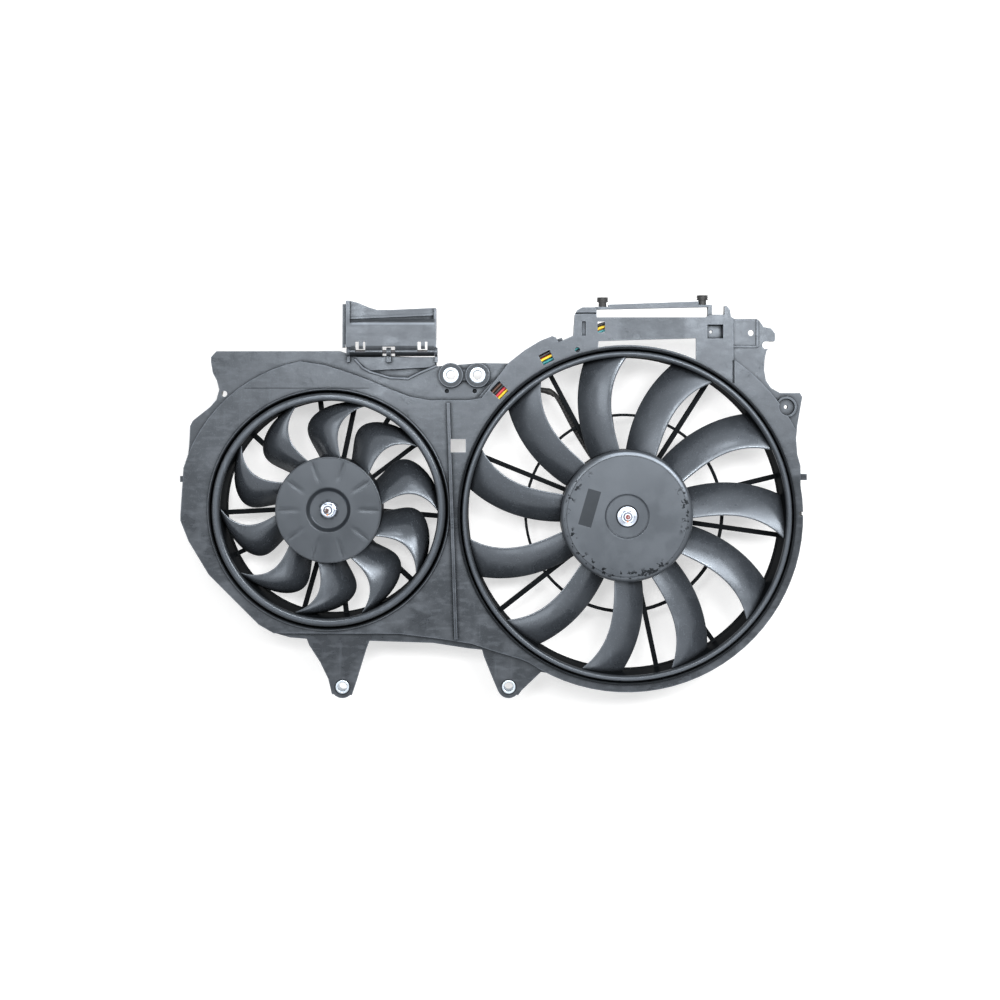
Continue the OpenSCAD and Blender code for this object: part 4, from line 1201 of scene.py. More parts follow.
def tube(
    path: Array, radius: float | Array, sides: int, reference: Sequence[float] = (0.0, 1.0, 0.0)
) -> Array:
    """Carries a circle along a path.

    The circle's first axis is the path's direction crossed with the reference, and its second is the
    direction crossed with the first.

    Args:
        path: Points in metres.
        radius: In metres, one for all or one a point.
        sides: Points round the circle.
        reference: A direction that the path never takes.

    Returns:
        A grid with one row of points for each point of the path.
    """
    ahead = np.gradient(path, axis=0)
    ahead /= np.linalg.norm(ahead, axis=1, keepdims=True)
    first = np.cross(ahead, np.array(reference, float))
    first /= np.linalg.norm(first, axis=1, keepdims=True)
    second = np.cross(ahead, first)
    turn = 2 * np.pi * np.arange(sides) / sides
    size = np.broadcast_to(np.asarray(radius, float), (len(path),))[:, None, None]
    ring = first[:, None] * np.cos(turn)[None, :, None] + second[:, None] * np.sin(turn)[None, :, None]
    return path[:, None] + size * ring


def bezier(a: Array, b: Array, c: Array, d: Array, steps: int) -> Array:
    """Gives points on the cubic with ends a and d and handles b and c."""
    t = np.linspace(0, 1, steps + 1)[:, None]
    return a * (1 - t) ** 3 + 3 * b * t * (1 - t) ** 2 + 3 * c * t * t * (1 - t) + d * t**3


def spline(knots: Sequence[Array], steps: int) -> Array:
    """Gives a smooth curve through the knots, cubics whose handles are a sixth of their neighbours' gap.

    Args:
        knots: The places that it passes.
        steps: Spans between two of them.

    Returns:
        The curve's points.
    """
    k = np.array(knots, float)
    spans = []
    for i in range(len(k) - 1):
        before, after = k[max(i - 1, 0)], k[min(i + 2, len(k) - 1)]
        span = bezier(k[i], k[i] + (k[i + 1] - before) / 6, k[i + 1] - (after - k[i]) / 6, k[i + 1], steps)
        spans.append(span if i == len(k) - 2 else span[:-1])
    return np.concatenate(spans)


def polar(centre: Sequence[float], radius: float, degrees: float, w: float) -> Array:
    """Gives the sheet point (x, z, w) at a radius and an angle about a centre."""
    turn = math.radians(degrees)
    return np.array([centre[0] + radius * math.cos(turn), centre[1] + radius * math.sin(turn), w])


def in_frame(points: Array) -> Array:
    """Turns rows of (x, z, w) in millimetres into points of the frame."""
    return stand(points[..., 0], points[..., 1], points[..., 2])


# Impellers


@dataclass
class Impeller:
    """A banded impeller: hub, swept blades and the band that joins their tips.

    Radii are measured from the axis and heights w from the rim plate's face, both in millimetres.

    Attributes:
        size: Which fan it belongs to, as its names begin.
        axis: Its axis on the sheet.
        hub_r: The hub's radius.
        hub_edge: The rounding of the hub's front edge.
        dish_r: The radius of the dish in the hub's middle.
        dish_d: How deep the dish is.
        band_r: The band's inner radius.
        lip_r: The outer radius of its rolled lip.
        band_depth: How far back the band reaches.
        blades: How many blades there are.
        finish: The blades' and the band's finish.
        hub_finish: The hub's finish.
        lead: The leading edge's angle in degrees, at 0 on the hub to 1 at the band.
        trail: The trailing edge's angle in the same way.
        root_w: The leading edge's height at the hub.
        tip_w: Its height at the band.
        drop: How far the blade falls back from edge to edge.
        bend: How late it falls.
        dish_slope: How far the dish's wall leans in.
        sink_depth: How deep the sink marks are.
        sink_half: Half their width.
        hub_h: The height of the hub's face.
        hub_depth: How far back the hub's skirt reaches.
        boss_h: How far the boss round the bore stands back from the dish's floor.
        boss_wall: The boss's thickness.
        lip_h: The height of the band's lip.
        lip_t: The lip's thickness from front to back.
        wall: The hub's thickness.
        band_wall: The band's thickness.
        bore_r: The bore's radius.
        blade_t: A blade's greatest thickness.
        nose: The share of the chord over which each edge closes.
        bead_at: Where on the chord the bead is.
        bead_half: Half the bead's share of the chord.
        bead_h: Its height.
        root_in: How far the blade reaches into the hub.
        tip_in: How far it reaches into the band.
        face_rings: Rings of points on the hub's face.
        hub_steps: Points round the hub.
        band_steps: Points round the band.
    """

    size: str
    axis: Spot
    hub_r: float
    hub_edge: float
    dish_r: float
    dish_d: float
    band_r: float
    lip_r: float
    band_depth: float
    blades: int
    finish: Finish | Kind
    hub_finish: Finish | Kind
    lead: Callable[[Array], Array]
    trail: Callable[[Array], Array]
    root_w: float
    tip_w: float
    drop: float
    bend: float
    dish_slope: float = 0.0
    sink_depth: float = 0.0
    sink_half: float = 4.0
    hub_h: float = 17.0
    hub_depth: float = 16.0
    boss_h: float = 9.0
    boss_wall: float = 6.0
    lip_h: float = 16.0
    lip_t: float = 5.5
    wall: float = 3.0
    band_wall: float = 2.2
    bore_r: float = 4.05
    blade_t: float = 3.0
    nose: float = 0.03
    bead_at: float = 0.965
    bead_half: float = 0.03
    bead_h: float = 0.9
    root_in: float = 1.5
    tip_in: float = 1.0
    face_rings: int = 14
    hub_steps: int = 240
    band_steps: int = 300

    def hub(self) -> Array:
        """Gives the hub cup's grid, with the sink marks of its inner ribs on the face.

        Its profile goes up the boss behind the bore, along the back of the dish and the face, round the skirt
        and the front edge, in over the face in many rings, and down the dish's wall to its floor.

        Returns:
            The grid, with one row of points at each angle.
        """
        top, floor, edge = self.hub_h, self.hub_h - self.dish_d, self.hub_edge
        foot = self.bore_r + self.boss_wall
        skirt = self.hub_r - self.wall
        corners = [
            (self.bore_r, floor - self.boss_h, 0.4),
            (foot, floor - self.boss_h, 0.6),
            (foot + 1, floor - self.wall, 1.0),
            (self.dish_r + 1, floor - self.wall, 1.0),
            (self.dish_r + 4, top - self.wall, 1.0),
            (skirt, top - max(edge, self.wall + 0.5), 0.5),
            (skirt, -self.hub_depth, 0.5),
            (self.hub_r, -self.hub_depth, 0.5),
            (self.hub_r, top, edge),
        ]
        rings = np.linspace(self.hub_r - edge - 0.5, self.dish_r + 3.2, self.face_rings)
        face = np.stack([rings, np.full(self.face_rings, top)], axis=1)
        lip = min(0.9, self.dish_d * 0.45)
        wall = [
            (self.dish_r + 3.0, top, 0.0),
            (self.dish_r + 1.6, top, lip),
            (self.dish_r - self.dish_slope, floor, lip),
            (foot, floor, 0.0),
        ]
        dish = np.array([[self.bore_r + self.boss_wall / 2, floor], [self.bore_r, floor]])
        profile = np.concatenate([rounded(corners, 8), face, rounded(wall, 5), dish])
        return revolve(profile, self.axis, self.hub_steps, self.sink)

    def sink(self, radius: Array, turn: Array, w: Array) -> Array:
        """Lowers the face a little over each inner rib: a cosine bump across it, faded at both ends.

        Args:
            radius: Distances from the axis.
            turn: Angles about it, in radians.
            w: Heights.

        Returns:
            The lowered heights.
        """
        phase = (turn * self.blades / (2 * np.pi)) % 1.0
        across = np.minimum(phase, 1 - phase) * 2 * np.pi / self.blades * radius
        dip = 0.5 + 0.5 * np.cos(np.pi * np.clip(across / self.sink_half, 0, 1))
        span = np.clip((radius - self.dish_r - 8) / 6, 0, 1)
        span = span * np.clip((self.hub_r - self.hub_edge - 2 - radius) / 5, 0, 1)
        return w - self.sink_depth * dip * span * (w > self.hub_h - 0.01)

    def band(self) -> Array:
        """Gives the band's grid: a thin wall that widens into a rolled lip in front.

        Returns:
            The grid, with one row of points at each angle.
        """
        outer, foot = self.band_r + self.band_wall, self.lip_h - self.lip_t
        corners = [
            (self.band_r, -self.band_depth, 0.5),
            (outer, -self.band_depth, 0.5),
            (outer, foot - 2, 1.5),
            (self.lip_r, foot, 0.8),
            (self.lip_r, self.lip_h, 3.1),
            (self.band_r, self.lip_h, 3.2),
        ]
        return revolve(rounded(corners, 8), self.axis, self.band_steps)

    def blade(self, turn: float, spans: int = 26, chords: int = 26) -> Array:
        """Gives one blade's grid.

        A point at t from hub to band and s from the leading to the trailing edge lies at the radius mixed by
        t, at the angle mixed by s between the two edges' formulas, and at the front line's height less
        drop * s ** bend. Each side is set off along the surface's normal by half the thickness, which swells
        as a sine over the chord and closes to an ellipse at both edges. The front side has a bead along the
        trailing edge, a bell curve of the chord's place that dies out at the band.

        Args:
            turn: The blade's angle in degrees.
            spans: Steps from hub to band.
            chords: Steps across the blade.

        Returns:
            Closed sections, one a row.
        """
        t = np.linspace(0, 1, spans + 1)[:, None]
        s = (0.5 - 0.5 * np.cos(np.pi * np.linspace(0, 1, chords + 1)))[None, :]
        start, end = self.hub_r - self.root_in, self.band_r + self.tip_in
        radius = np.broadcast_to(start + (end - start) * t, (spans + 1, chords + 1))
        angle = np.radians(turn + self.lead(t) * (1 - s) + self.trail(t) * s)
        w = self.root_w + (self.tip_w - self.root_w) * t - self.drop * s**self.bend
        middle = np.stack([radius * np.cos(angle), radius * np.sin(angle), w], axis=-1)
        across = np.gradient(middle, axis=1)
        along = np.gradient(middle, axis=0)
        normal = np.cross(along, across)
        normal /= np.linalg.norm(normal, axis=-1, keepdims=True)
        ends = np.clip(np.minimum(s, 1 - s) / self.nose, 0, 1)
        half = self.blade_t / 2 * (0.4 + 0.6 * np.sin(np.pi * s**0.8)) * np.sqrt(ends * (2 - ends))
        bead = self.bead_h * np.exp(-(((s - self.bead_at) / self.bead_half) ** 2) * 4) * (1 - t**8)
        upper = middle - normal * (half + bead)[..., None]
        lower = middle + normal * half[..., None]
        loop = np.concatenate([upper, lower[:, -2:0:-1]], axis=1)
        return stand(self.axis[0] + loop[..., 0], self.axis[1] + loop[..., 1], loop[..., 2])

    def build(self) -> None:
        """Makes the hub, and the band with its blades, in place of the solid impeller."""
        rotor = f"{self.size}_rotor"
        hub = Sheets()
        hub.add(self.hub(), round_v=True)
        hub_piece = hub.build(f"{self.size}_hub", self.hub_finish, rotor)
        wheel = Sheets()
        wheel.add(self.band(), round_v=True)
        for k in range(self.blades):
            wheel.add(self.blade(360 * k / self.blades), cap=True)
        wheel_piece = wheel.build(f"{self.size}_blades_and_band", self.finish, rotor, smooth=50.0)
        for piece in (hub_piece, wheel_piece):
            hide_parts(f"{self.size}_impeller")


# Motors and fasteners


@dataclass
class Nut:
    """A hexagon flange nut on the threaded end of a shaft.

    Attributes:
        size: Which fan it belongs to, as its names begin.
        axis: Its axis on the sheet.
        seat_w: The height of its seat.
        flange_r: The flange's radius.
        flange_t: The flange's thickness.
        washer_r: The radius where the flange meets the hexagon's foot.
        height: The nut's height.
        flat_r: From the axis to a flat of the hexagon.
        corner_r: From the axis to a corner, as the cone leaves it.
        crown_r: The radius of the chamfered top.
        thread_r: The thread's radius.
        sides: Points round the axis.
    """

    size: str
    axis: Spot
    seat_w: float
    flange_r: float = 9.0
    flange_t: float = 2.0
    washer_r: float = 8.2
    height: float = 8.0
    flat_r: float = 6.5
    corner_r: float = 7.5
    crown_r: float = 6.4
    thread_r: float = 4.0
    sides: int = 144

    def shell(self) -> Array:
        """Gives the nut's grid: a hexagon cut by a cone, over a round flange.

        The hexagon's radius at an angle is its flat's radius over the cosine of the angle from the flat's
        middle, and each level of the hexagon takes the smaller of that and its own circle.

        Returns:
            The grid, with one row of points at each angle.
        """
        bore = self.thread_r + 0.05
        flange = [[bore, 0.0], [self.flange_r - 0.3, 0.0], [self.flange_r, 0.5], [self.flange_r - 0.2, 1.2]]
        flange.append([self.washer_r, self.flange_t + 0.1])
        hexagon = [
            [self.corner_r - 0.05, self.flange_t + 0.6],
            [self.corner_r, self.height - 1.6],
            [self.corner_r - 0.4, self.height - 0.7],
        ]
        crown = [[self.crown_r, self.height], [self.thread_r + 1.0, self.height], [bore, self.height - 0.8]]
        levels = np.array(flange + hexagon + crown)
        turn = 2 * np.pi * np.arange(self.sides)[:, None] / self.sides
        flat = self.flat_r / np.cos((turn % (np.pi / 3)) - np.pi / 6)
        radius = np.broadcast_to(levels[:, 0], (self.sides, len(levels))).copy()
        cut = slice(len(flange), len(flange) + len(hexagon))
        radius[:, cut] = np.minimum(radius[:, cut], flat)
        w = np.broadcast_to(self.seat_w + levels[:, 1], radius.shape)
        return stand(self.axis[0] + radius * np.cos(turn), self.axis[1] + radius * np.sin(turn), w)

    def build(self) -> None:
        """Makes the nut in place of its solid."""
        shell = Sheets()
        shell.add(self.shell(), round_v=True)
        zinc = PlatedNut(f"{self.size}_nut_zinc", self.axis)
        piece = shell.build(f"{self.size}_flange_nut", zinc, f"{self.size}_rotor", smooth=25.0)
        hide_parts(f"{self.size}_nut")


@dataclass
class Sleeve:
    """A pair of flanged steel mounting sleeves with chamfered bores.

    Attributes:
        name: The piece's name.
        node: The node that it replaces.
        centres: The middles of the bores.
        outer_r: The sleeves' outer radius.
        front: The height of their front ends.
        back: The height of their back ends.
        bore_r: The bores' radius.
        steps: Points round a bore.
    """

    name: str
    node: str
    centres: Sequence[Spot]
    outer_r: float
    front: float
    back: float
    bore_r: float = 4.95
    steps: int = 96

    def build(self) -> None:
        """Makes the pair from one profile with chamfered corners."""
        sheets = Sheets()
        for centre in self.centres:
            corners = [
                (self.bore_r, self.back, 0.5), (self.outer_r, self.back, 0.4),
                (self.outer_r, self.front, 0.9), (self.bore_r, self.front, 0.8),
            ]
            sheets.add(revolve(rounded(corners, 4), centre, self.steps), round_v=True)
        piece = sheets.build(self.name, Kind.SLEEVE, "shroud_body")
        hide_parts(self.node)


@dataclass
class Motors:
    """The two motors, whose solids keep their shapes and get their metals."""

    inner: Mapping[str, Kind] = field(
        default_factory=lambda: {
            "can": Kind.CAN, "end_cap": Kind.CAP, "magnets": Kind.MAGNET, "core": Kind.CORE,
            "windings": Kind.COPPER, "commutator": Kind.COPPER, "bearings": Kind.BEARING,
            "brush_card": Kind.CARD, "brushes": Kind.CARBON, "screws": Kind.ZINC,
        }
    )

    def build(self) -> None:
        """Dresses every piece of both motors."""
        for size, shaft in (("small", Kind.SMALL_SHAFT), ("large", Kind.LARGE_SHAFT)):
            pieces = {**self.inner, "shaft": shaft}
            dress_nodes({f"{size}_{piece}": finish for piece, finish in pieces.items()})


# Wiring


@dataclass
class Wiring:
    """The wires in the channel, their plug, and the sleeved leads to the motors.

    The routes are those of the solids: a lead's is a list of given places, most of them as a radius, an angle
    in degrees and a height about a fan's axis.

    Attributes:
        wire_r: A wire's radius.
        lead_r: A sleeved lead's radius.
        front_w: The height of the wires in front.
        back_w: The height of the wires behind them.
        plug_x: Where the wires meet the plug.
        channel_r: The radius that the leads' places are counted from.
        boot_turn: The angle at which both leads leave the boot.
        boot_w: The height of the boot's end face.
        small_boot: How far outside channel_r the small fan's lead leaves the boot.
        large_boot: How far outside it the large fan's lead does.
        wire_start: The angle at which the wires leave the boot.
        arc_end: The angle at which their arc ends.
        swap_from: The angle at which they start to change places.
        swap_span: Over how many degrees they do.
        small_lead_turn: The angle of the strut that carries the small fan's lead.
        large_lead_turn: The angle of the strut that carries the large fan's lead.
        beside: How far beside the middle of its strut the large fan's lead lies.
        small_w: The height of the lead along the small fan's strut.
        large_w: The height of the lead along the large fan's strut.
        small_outlet: The height of the small motor's outlet.
        large_outlet: The height of the large motor's outlet.
        small_can_r: The small motor's radius.
        large_can_r: The large motor's radius.
        splice_r: The radius of the sleeve over the joint.
        splice_ring: How far its rings stand out.
        splice_rings: Where they are along it, and how wide, as shares of its length.
    """

    wire_r: float = 1.45
    lead_r: float = 2.5
    front_w: float = 7.25
    back_w: float = 3.0
    plug_x: float = 198.7
    channel_r: float = 187.6
    boot_turn: float = 149.3
    boot_w: float = -0.05
    small_boot: float = 11.9
    large_boot: float = 4.9
    wire_start: float = 145.9
    arc_end: float = 112.0
    swap_from: float = 131.0
    swap_span: float = 10.0
    small_lead_turn: float = 37.0
    large_lead_turn: float = 118.0
    beside: float = 4.5
    small_w: float = -40.3
    large_w: float = -36.3
    small_outlet: float = -58.5
    large_outlet: float = -64.5
    small_can_r: float = 36.0
    large_can_r: float = 44.0
    splice_r: float = 3.1
    splice_ring: float = 0.7
    splice_rings: tuple[Spot, ...] = ((0.3, 0.05), (0.7, 0.08))

    def channel(self, before: Spot, after: Spot, end_z: float, power: float) -> Array:
        """Gives a wire's path: an arc about the large fan and a cubic to the plug.

        On a stretch of the arc the wire moves from one radius and height to another.

        Args:
            before: Radius and height before the change.
            after: Radius and height after it.
            end_z: Height up the sheet at the plug.
            power: How late its height changes.

        Returns:
            The path in the frame.
        """
        degrees = np.linspace(self.wire_start, self.arc_end, 60)
        swap = np.clip((self.swap_from - degrees) / self.swap_span, 0, 1)
        radius = before[0] + (after[0] - before[0]) * swap
        w = before[1] + (after[1] - before[1]) * swap**power
        turn = np.radians(degrees)
        x, z = LARGE_AXIS[0] + radius * np.cos(turn), LARGE_AXIS[1] + radius * np.sin(turn)
        start = polar(LARGE_AXIS, after[0], self.arc_end - 4, after[1])
        end = np.array([self.plug_x, end_z, after[1]])
        tail = bezier(start, start + [9, 3, 0], end - [14, 0, 0], end, 16)
        return in_frame(np.concatenate([np.stack([x, z, w], axis=1), tail]))

    def wires(self) -> None:
        """Makes the five wires, each with its finish and what `channel` takes."""
        front, back = self.front_w, self.back_w
        routes = {
            "brown": (Kind.BROWN, (199.6, front), (199, back), 398, 1),
            "black": (Kind.BLACK, (196.4, front), (197.6, front), 400, 1),
            "red": (Kind.RED, (193.2, front), (195, back), 394, 1),
            "yellow": (Kind.YELLOW, (190, front), (193.8, front), 396, 1),
            "green": (Kind.GREEN, (190, back), (190, front), 392, 2),
        }
        for colour, (finish, before, after, end_z, power) in routes.items():
            sheets = Sheets()
            path = self.channel(before, after, end_z, power)
            sheets.add(tube(path, self.wire_r * MM, 14), cap=True)
            piece = sheets.build(f"{colour}_wire", finish, "shroud_body", smooth=60.0)
            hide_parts(f"wire_{colour}")

    def small_route(self) -> list[Array]:
        """Lists the places of the small fan's lead, from the boot over the shroud's back to its motor.

        Returns:
            Points (x, z, w) in millimetres.
        """
        turn, w, outlet, can_r = self.small_lead_turn, self.small_w, self.small_outlet, self.small_can_r
        back = np.array([0.0, 0.0, -1.0])
        first = polar(LARGE_AXIS, self.channel_r + self.small_boot, self.boot_turn, self.boot_w)
        places = [
            (127.8, 35, w), (111.8, turn, w), (84, turn, w), (can_r + 24, turn, w - 0.6),
            (can_r + 15, turn, w - 6), (can_r + 11.5, turn, outlet + 2), (can_r + 7, turn, outlet),
            (can_r + 3, turn, outlet), (can_r - 7.5, turn, outlet),
        ]
        crossing = [np.array(spot, float) for spot in ([40, 285, -22], [24, 277, -33], [9, 272, w + 1])]
        fall = [first, first + 3 * back, first + 9 * back]
        return fall + crossing + [polar(SMALL_AXIS, *place) for place in places]

    def large_route(self) -> list[Array]:
        """Lists the places of the large fan's lead, from the boot along the skirt and beside its strut.

        Returns:
            Points (x, z, w) in millimetres.
        """
        turn, w, outlet, can_r = self.large_lead_turn, self.large_w, self.large_outlet, self.large_can_r
        back = np.array([0.0, 0.0, -1.0])
        first = polar(LARGE_AXIS, self.channel_r + self.large_boot, self.boot_turn, self.boot_w)
        side = math.radians(turn)
        beside = self.beside * np.array([-math.sin(side), math.cos(side), 0.0])
        places = [
            ((self.channel_r + 3.4, 144, -23), 0.0), ((self.channel_r - 1, 137, -34), 0.0),
            ((self.channel_r - 9, 130, w), 0.0), ((self.channel_r - 17.6, 125.5, w), 0.0),
            ((158, 121, w), 0.0), ((146, turn, w), 1.0), ((110, turn, w), 1.0),
            ((can_r + 32, turn, w - 1), 0.5), ((can_r + 20, turn, w - 7), 0.0),
            ((can_r + 14, turn, outlet + 3), 0.0), ((can_r + 8, turn, outlet), 0.0),
            ((can_r + 3, turn, outlet), 0.0), ((can_r - 7.5, turn, outlet), 0.0),
        ]
        fall = [first, first + 3 * back, first + 9 * back]
        return fall + [polar(LARGE_AXIS, *place) + share * beside for place, share in places]

    def leads(self) -> None:
        """Makes the two sleeved leads from the boot to the motors, and the splice on the large one."""
        routes = {
            "small": (self.small_route(), self.small_lead_turn),
            "large": (self.large_route(), self.large_lead_turn),
        }
        for size, (places, strut) in routes.items():
            reference = (-math.sin(math.radians(strut)), 0.0, math.cos(math.radians(strut)))
            sheets = Sheets()
            sheets.add(tube(in_frame(spline(places, 8)), self.lead_r * MM, 18, reference), cap=True)
            piece = sheets.build(f"{size}_sleeved_lead", Kind.SLEEVING, "shroud_body", smooth=60.0)
            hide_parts(f"{size}_lead")
        self.splice(spline(routes["large"][0][5:9], 12)[6:30])

    def splice(self, path: Array) -> None:
        """Makes the ringed sleeve over the joint in the large lead.

        Its radius swells at each ring by a bell curve of the place along it, and draws in at both ends.

        Args:
            path: The stretch of the lead that it covers.
        """
        along = np.linspace(0, 1, len(path))
        radius = np.full(len(path), self.splice_r)
        for middle, half in self.splice_rings:
            radius += self.splice_ring * np.exp(-(((along - middle) / half) ** 2))
        radius *= np.clip(np.minimum(along, 1 - along) / 0.03, 0, 1) * 0.12 + 0.88
        sheets = Sheets()
        sheets.add(tube(in_frame(path), radius * MM, 24, reference=(-0.88, 0.0, -0.47)), cap=True)
        piece = sheets.build("lead_splice_sleeve", Kind.RUBBER, "shroud_body", smooth=40.0)

    def build(self) -> None:
        """Makes the wires and leads and dresses the plug and the boot."""
        self.wires()
        self.leads()
        dress_nodes({"connector": Kind.CAP, "loom_boot": Kind.RUBBER})


# Shroud and flap


@dataclass
class Shroud:
    """The moulded shroud and the buffers on its rail, whose solids keep their shapes."""

    finishes: Mapping[str, Kind] = field(
        default_factory=lambda: {"shroud": Kind.SHROUD, "rubber_buffers": Kind.RUBBER}
    )

    def build(self) -> None:
        """Dresses the shroud and its buffers."""
        dress_nodes(self.finishes)


@dataclass
class Flap:
    """The flap and the pin that it swings on, whose solids keep their shapes."""

    finishes: Mapping[str, Kind] = field(default_factory=lambda: {"flap_pin": Kind.PIN, "flap": Kind.FLAP})

    def build(self) -> None:
        """Dresses the pin and the flap."""
        dress_nodes(self.finishes)


# Studio


@dataclass(frozen=True)
class Lamp:
    """A soft rectangular lamp: its place, its width and height in metres and its power in watts."""

    name: str
    place: tuple[float, float, float]
    size: tuple[float, float]
    power: float

    def hang(self, aim: tuple[float, float, float]) -> None:
        """Makes the lamp.

        Args:
            aim: The point that it faces.
        """
        data = bpy.data.lights.new(self.name, "AREA")
        data.shape = "RECTANGLE"
        data.size, data.size_y = self.size
        data.energy = self.power
        obj = bpy.data.objects.new(self.name, data)
        obj.location = self.place
        obj.rotation_euler = (Vector(aim) - Vector(self.place)).to_track_quat("-Z", "Y").to_euler()
        bpy.context.scene.collection.objects.link(obj)


@dataclass
class Studio:
    """The camera, the pale sheet behind the object and the soft lamps.

    The object stands upright and is seen square on, so the sheet that takes its shadow stands behind it.

    Attributes:
        across: The width of the picture at the rim plate's face, in metres.
        origin_column: The picture's column that the frame's origin lies in.
        columns: How many columns the picture has.
        distance: From the camera to the rim plate's face.
        sensor: The sensor's width in millimetres.
        eye_z: The camera's height.
        shift: How far the lens is moved down, as a share of the sensor's width.
        gap: From the object's back to the sheet.
        half: Half the sheet's width.
        paper: How light the sheet is where a ray sees it.
        paper_bounce: How light it is to the light that it throws back.
        glow: How much it shines of itself where a ray sees it.
        room: How bright the room is.
        room_tint: The room's colour.
        aim: The point that the lamps face.
        lamps: The lamps.
    """

    across: float = 1.1
    origin_column: float = 425.5
    columns: float = 1000.0
    distance: float = 1.55
    sensor: float = 36.0
    eye_z: float = 0.3157
    shift: float = -0.1
    gap: float = 0.004
    half: float = 3.0
    paper: float = 0.62
    paper_bounce: float = 0.35
    glow: float = 0.56
    room: float = 0.14
    room_tint: Colour = (0.94, 0.98, 1.0)
    aim: tuple[float, float, float] = (0.06, 0.0, 0.2)
    lamps: tuple[Lamp, ...] = (
        Lamp("window", (0.55, -1.5, 0.80), (1.3, 0.5), 9.5),
        Lamp("window_right", (0.60, -1.5, 0.60), (0.5, 0.3), 9.5),
        Lamp("window_left", (-0.14, -1.5, 0.55), (0.36, 0.25), 8.5),
        Lamp("overhead", (1.25, -1.25, 1.05), (0.8, 0.7), 14.0),
        Lamp("overhead_left", (0.0, -1.25, 1.40), (0.5, 0.4), 3.5),
        Lamp("side_left", (-1.20, -1.35, 0.30), (0.9, 0.8), 7.0),
        Lamp("below", (0.65, -1.35, -1.10), (1.2, 0.7), 6.0),
        Lamp("behind", (0.06, 1.7, 0.9), (1.6, 1.0), 16.0),
    )

    def camera(self) -> None:
        """Places the camera in front of the picture's middle column, with `across` in its view."""
        data = bpy.data.cameras.new("camera")
        data.sensor_width = self.sensor
        data.lens = self.sensor * self.distance / self.across
        data.shift_y = self.shift
        eye_x = self.across / 2 - self.origin_column * self.across / self.columns
        obj = bpy.data.objects.new("camera", data)
        obj.location = (eye_x, -self.distance, self.eye_z)
        obj.rotation_euler = (math.pi / 2, 0.0, 0.0)
        bpy.context.scene.collection.objects.link(obj)
        bpy.context.scene.camera = obj

    def sheet(self) -> None:
        """Makes the white sheet, which is clear when it is seen from behind."""
        y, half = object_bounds()[1].y + self.gap, self.half
        mesh = bpy.data.meshes.new("sheet")
        spots = [(-half, y, -half), (half, y, -half), (half, y, half), (-half, y, half)]
        mesh.from_pydata(spots, [], [(0, 1, 2, 3)])
        sheet = bpy.data.objects.new("sheet", mesh)
        bpy.context.scene.collection.objects.link(sheet)
        g = Graph("sheet_paper")
        seen = g.seen()
        shade = g.mix(seen, (self.paper_bounce,) * 3, (self.paper,) * 3)
        paper = g.node("ShaderNodeBsdfDiffuse", {}, {"Color": shade})
        glow = g.node("ShaderNodeEmission", {}, {"Color": (1, 1, 1), "Strength": seen * self.glow})
        both = g.node("ShaderNodeAddShader", {}, {0: paper, 1: glow})
        clear = g.node("ShaderNodeBsdfTransparent")
        back = g.node("ShaderNodeNewGeometry", {}, {}, "Backfacing")
        shown = g.node("ShaderNodeMixShader", {}, {0: back, 1: both, 2: clear})
        sheet.data.materials.append(g.finish(shown))
        sheet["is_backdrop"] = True

    def world(self) -> None:
        """Lights everything evenly from a pale room, which is white where a ray sees it."""
        g = Graph("room", world=True)
        bpy.context.scene.world = g.owner
        dim = g.node("ShaderNodeBackground", {}, {"Color": self.room_tint, "Strength": self.room})
        white = g.node("ShaderNodeBackground", {}, {"Color": (1, 1, 1), "Strength": 1.0})
        shown = g.node("ShaderNodeMixShader", {}, {0: g.seen(), 1: dim, 2: white})
        g.node("ShaderNodeOutputWorld", {}, {"Surface": shown})

    def build(self) -> None:
        """Sets up the view, the sheet, the room and the lamps."""
        bpy.context.scene.view_settings.view_transform = "Standard"
        self.camera()
        self.sheet()
        self.world()
        for lamp in self.lamps:
            lamp.hang(self.aim)


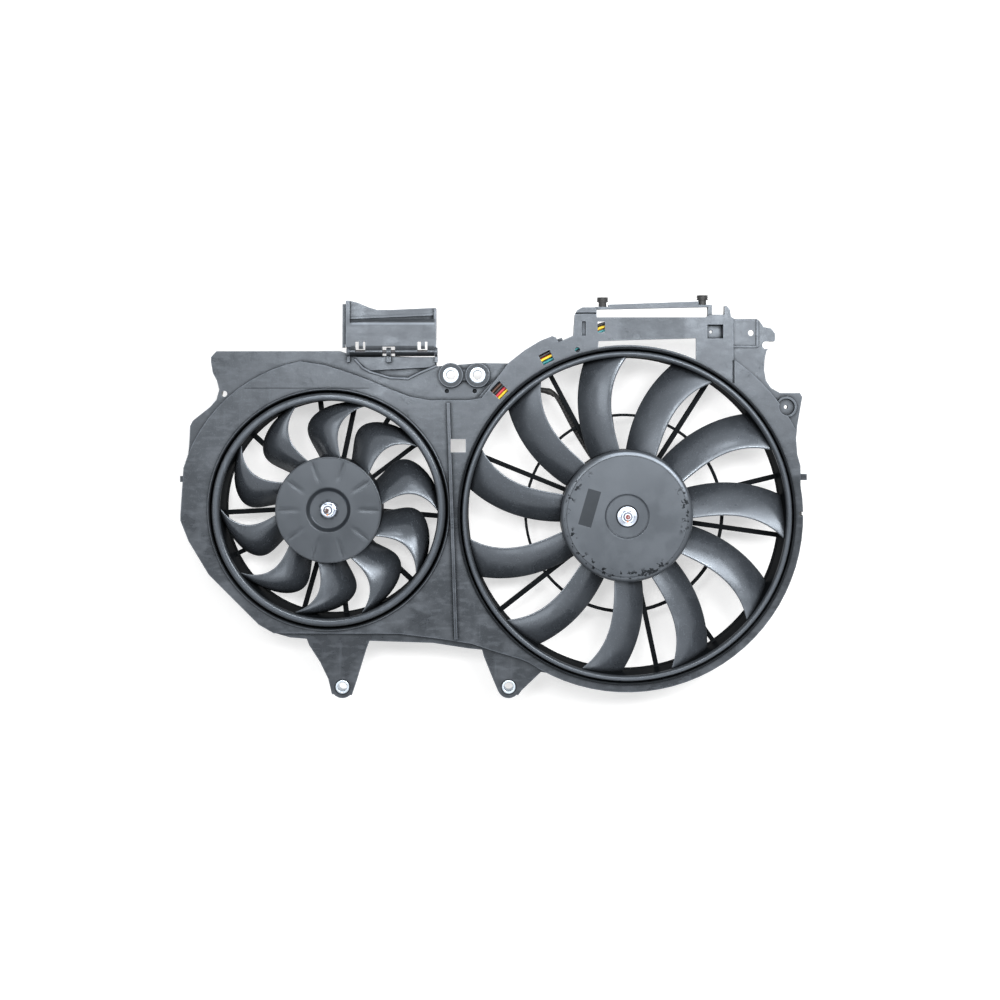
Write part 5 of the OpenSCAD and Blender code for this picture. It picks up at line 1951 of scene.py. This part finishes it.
def impellers() -> list[Impeller]:
    """Sets up the two impellers with their own sizes and edge lines.

    Returns:
        The small impeller and the large one.
    """
    hub_plastic = MouldedPlastic("hub_plastic", 0.04, -0.01, 0.34, grain=0.00002, crease=0.004)
    small_plastic = MouldedPlastic("small_plastic", 0.026, -0.01, 0.34, 0.72, grain=0.00002, crease=0.004)
    ribbed = RibbedHub("small_hub_plastic", small_plastic, SMALL_AXIS, 58.0, 10)
    small = Impeller(
        size="small", axis=SMALL_AXIS, hub_r=58.0, hub_edge=1.2, dish_r=23.0, dish_d=4.0, band_r=118.8,
        lip_r=127.6, band_depth=24.0, blades=10, finish=Kind.SMALL_FAN, hub_finish=ribbed,
        lead=lambda t: 4.8 + 31 * t - 37.4 * t**2, trail=lambda t: 31.8 + 13 * t - 38 * t**4,
        root_w=8.0, tip_w=10.5, drop=29.0, bend=1.5, dish_slope=3.0, sink_depth=0.28,
    )
    hub = ScuffedHub(
        "large_hub_plastic", hub_plastic, LARGE_AXIS, 72.6, (179.5, 198.0), (7.5, 20.5), math.radians(-16.0)
    )
    large = Impeller(
        size="large", axis=LARGE_AXIS, hub_r=72.6, hub_edge=6.5, dish_r=23.0, dish_d=1.2, band_r=173.8,
        lip_r=180.2, band_depth=20.0, blades=11, finish=Kind.LARGE_FAN, hub_finish=hub,
        lead=lambda t: -2.6 + 15 * t - 21 * t**2, trail=lambda t: 23.5 - 11 * t - 5.5 * t**2,
        root_w=5.0, tip_w=10.0, drop=23.0, bend=1.3,
    )
    return [small, large]


def main() -> None:
    """Builds and dresses everything in order."""
    logging.basicConfig(level=logging.INFO, format="%(name)s: %(message)s")
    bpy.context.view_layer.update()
    Studio().build()
    Shroud().build()
    Flap().build()
    for wheel in impellers():
        wheel.build()
    Nut("small", SMALL_AXIS, seat_w=13.0).build()
    Nut("large", LARGE_AXIS, seat_w=15.8, flange_r=10.8).build()
    Sleeve("lower_mounting_sleeves", "lower_sleeves", FEET_BORES, outer_r=7.7, front=0.0, back=-16.0).build()
    Sleeve("upper_mounting_sleeves", "upper_sleeves", UPPER_BORES, outer_r=8.8, front=8.0, back=-10.0).build()
    Motors().build()
    Wiring().build()


if __name__ == "__main__":
    main()
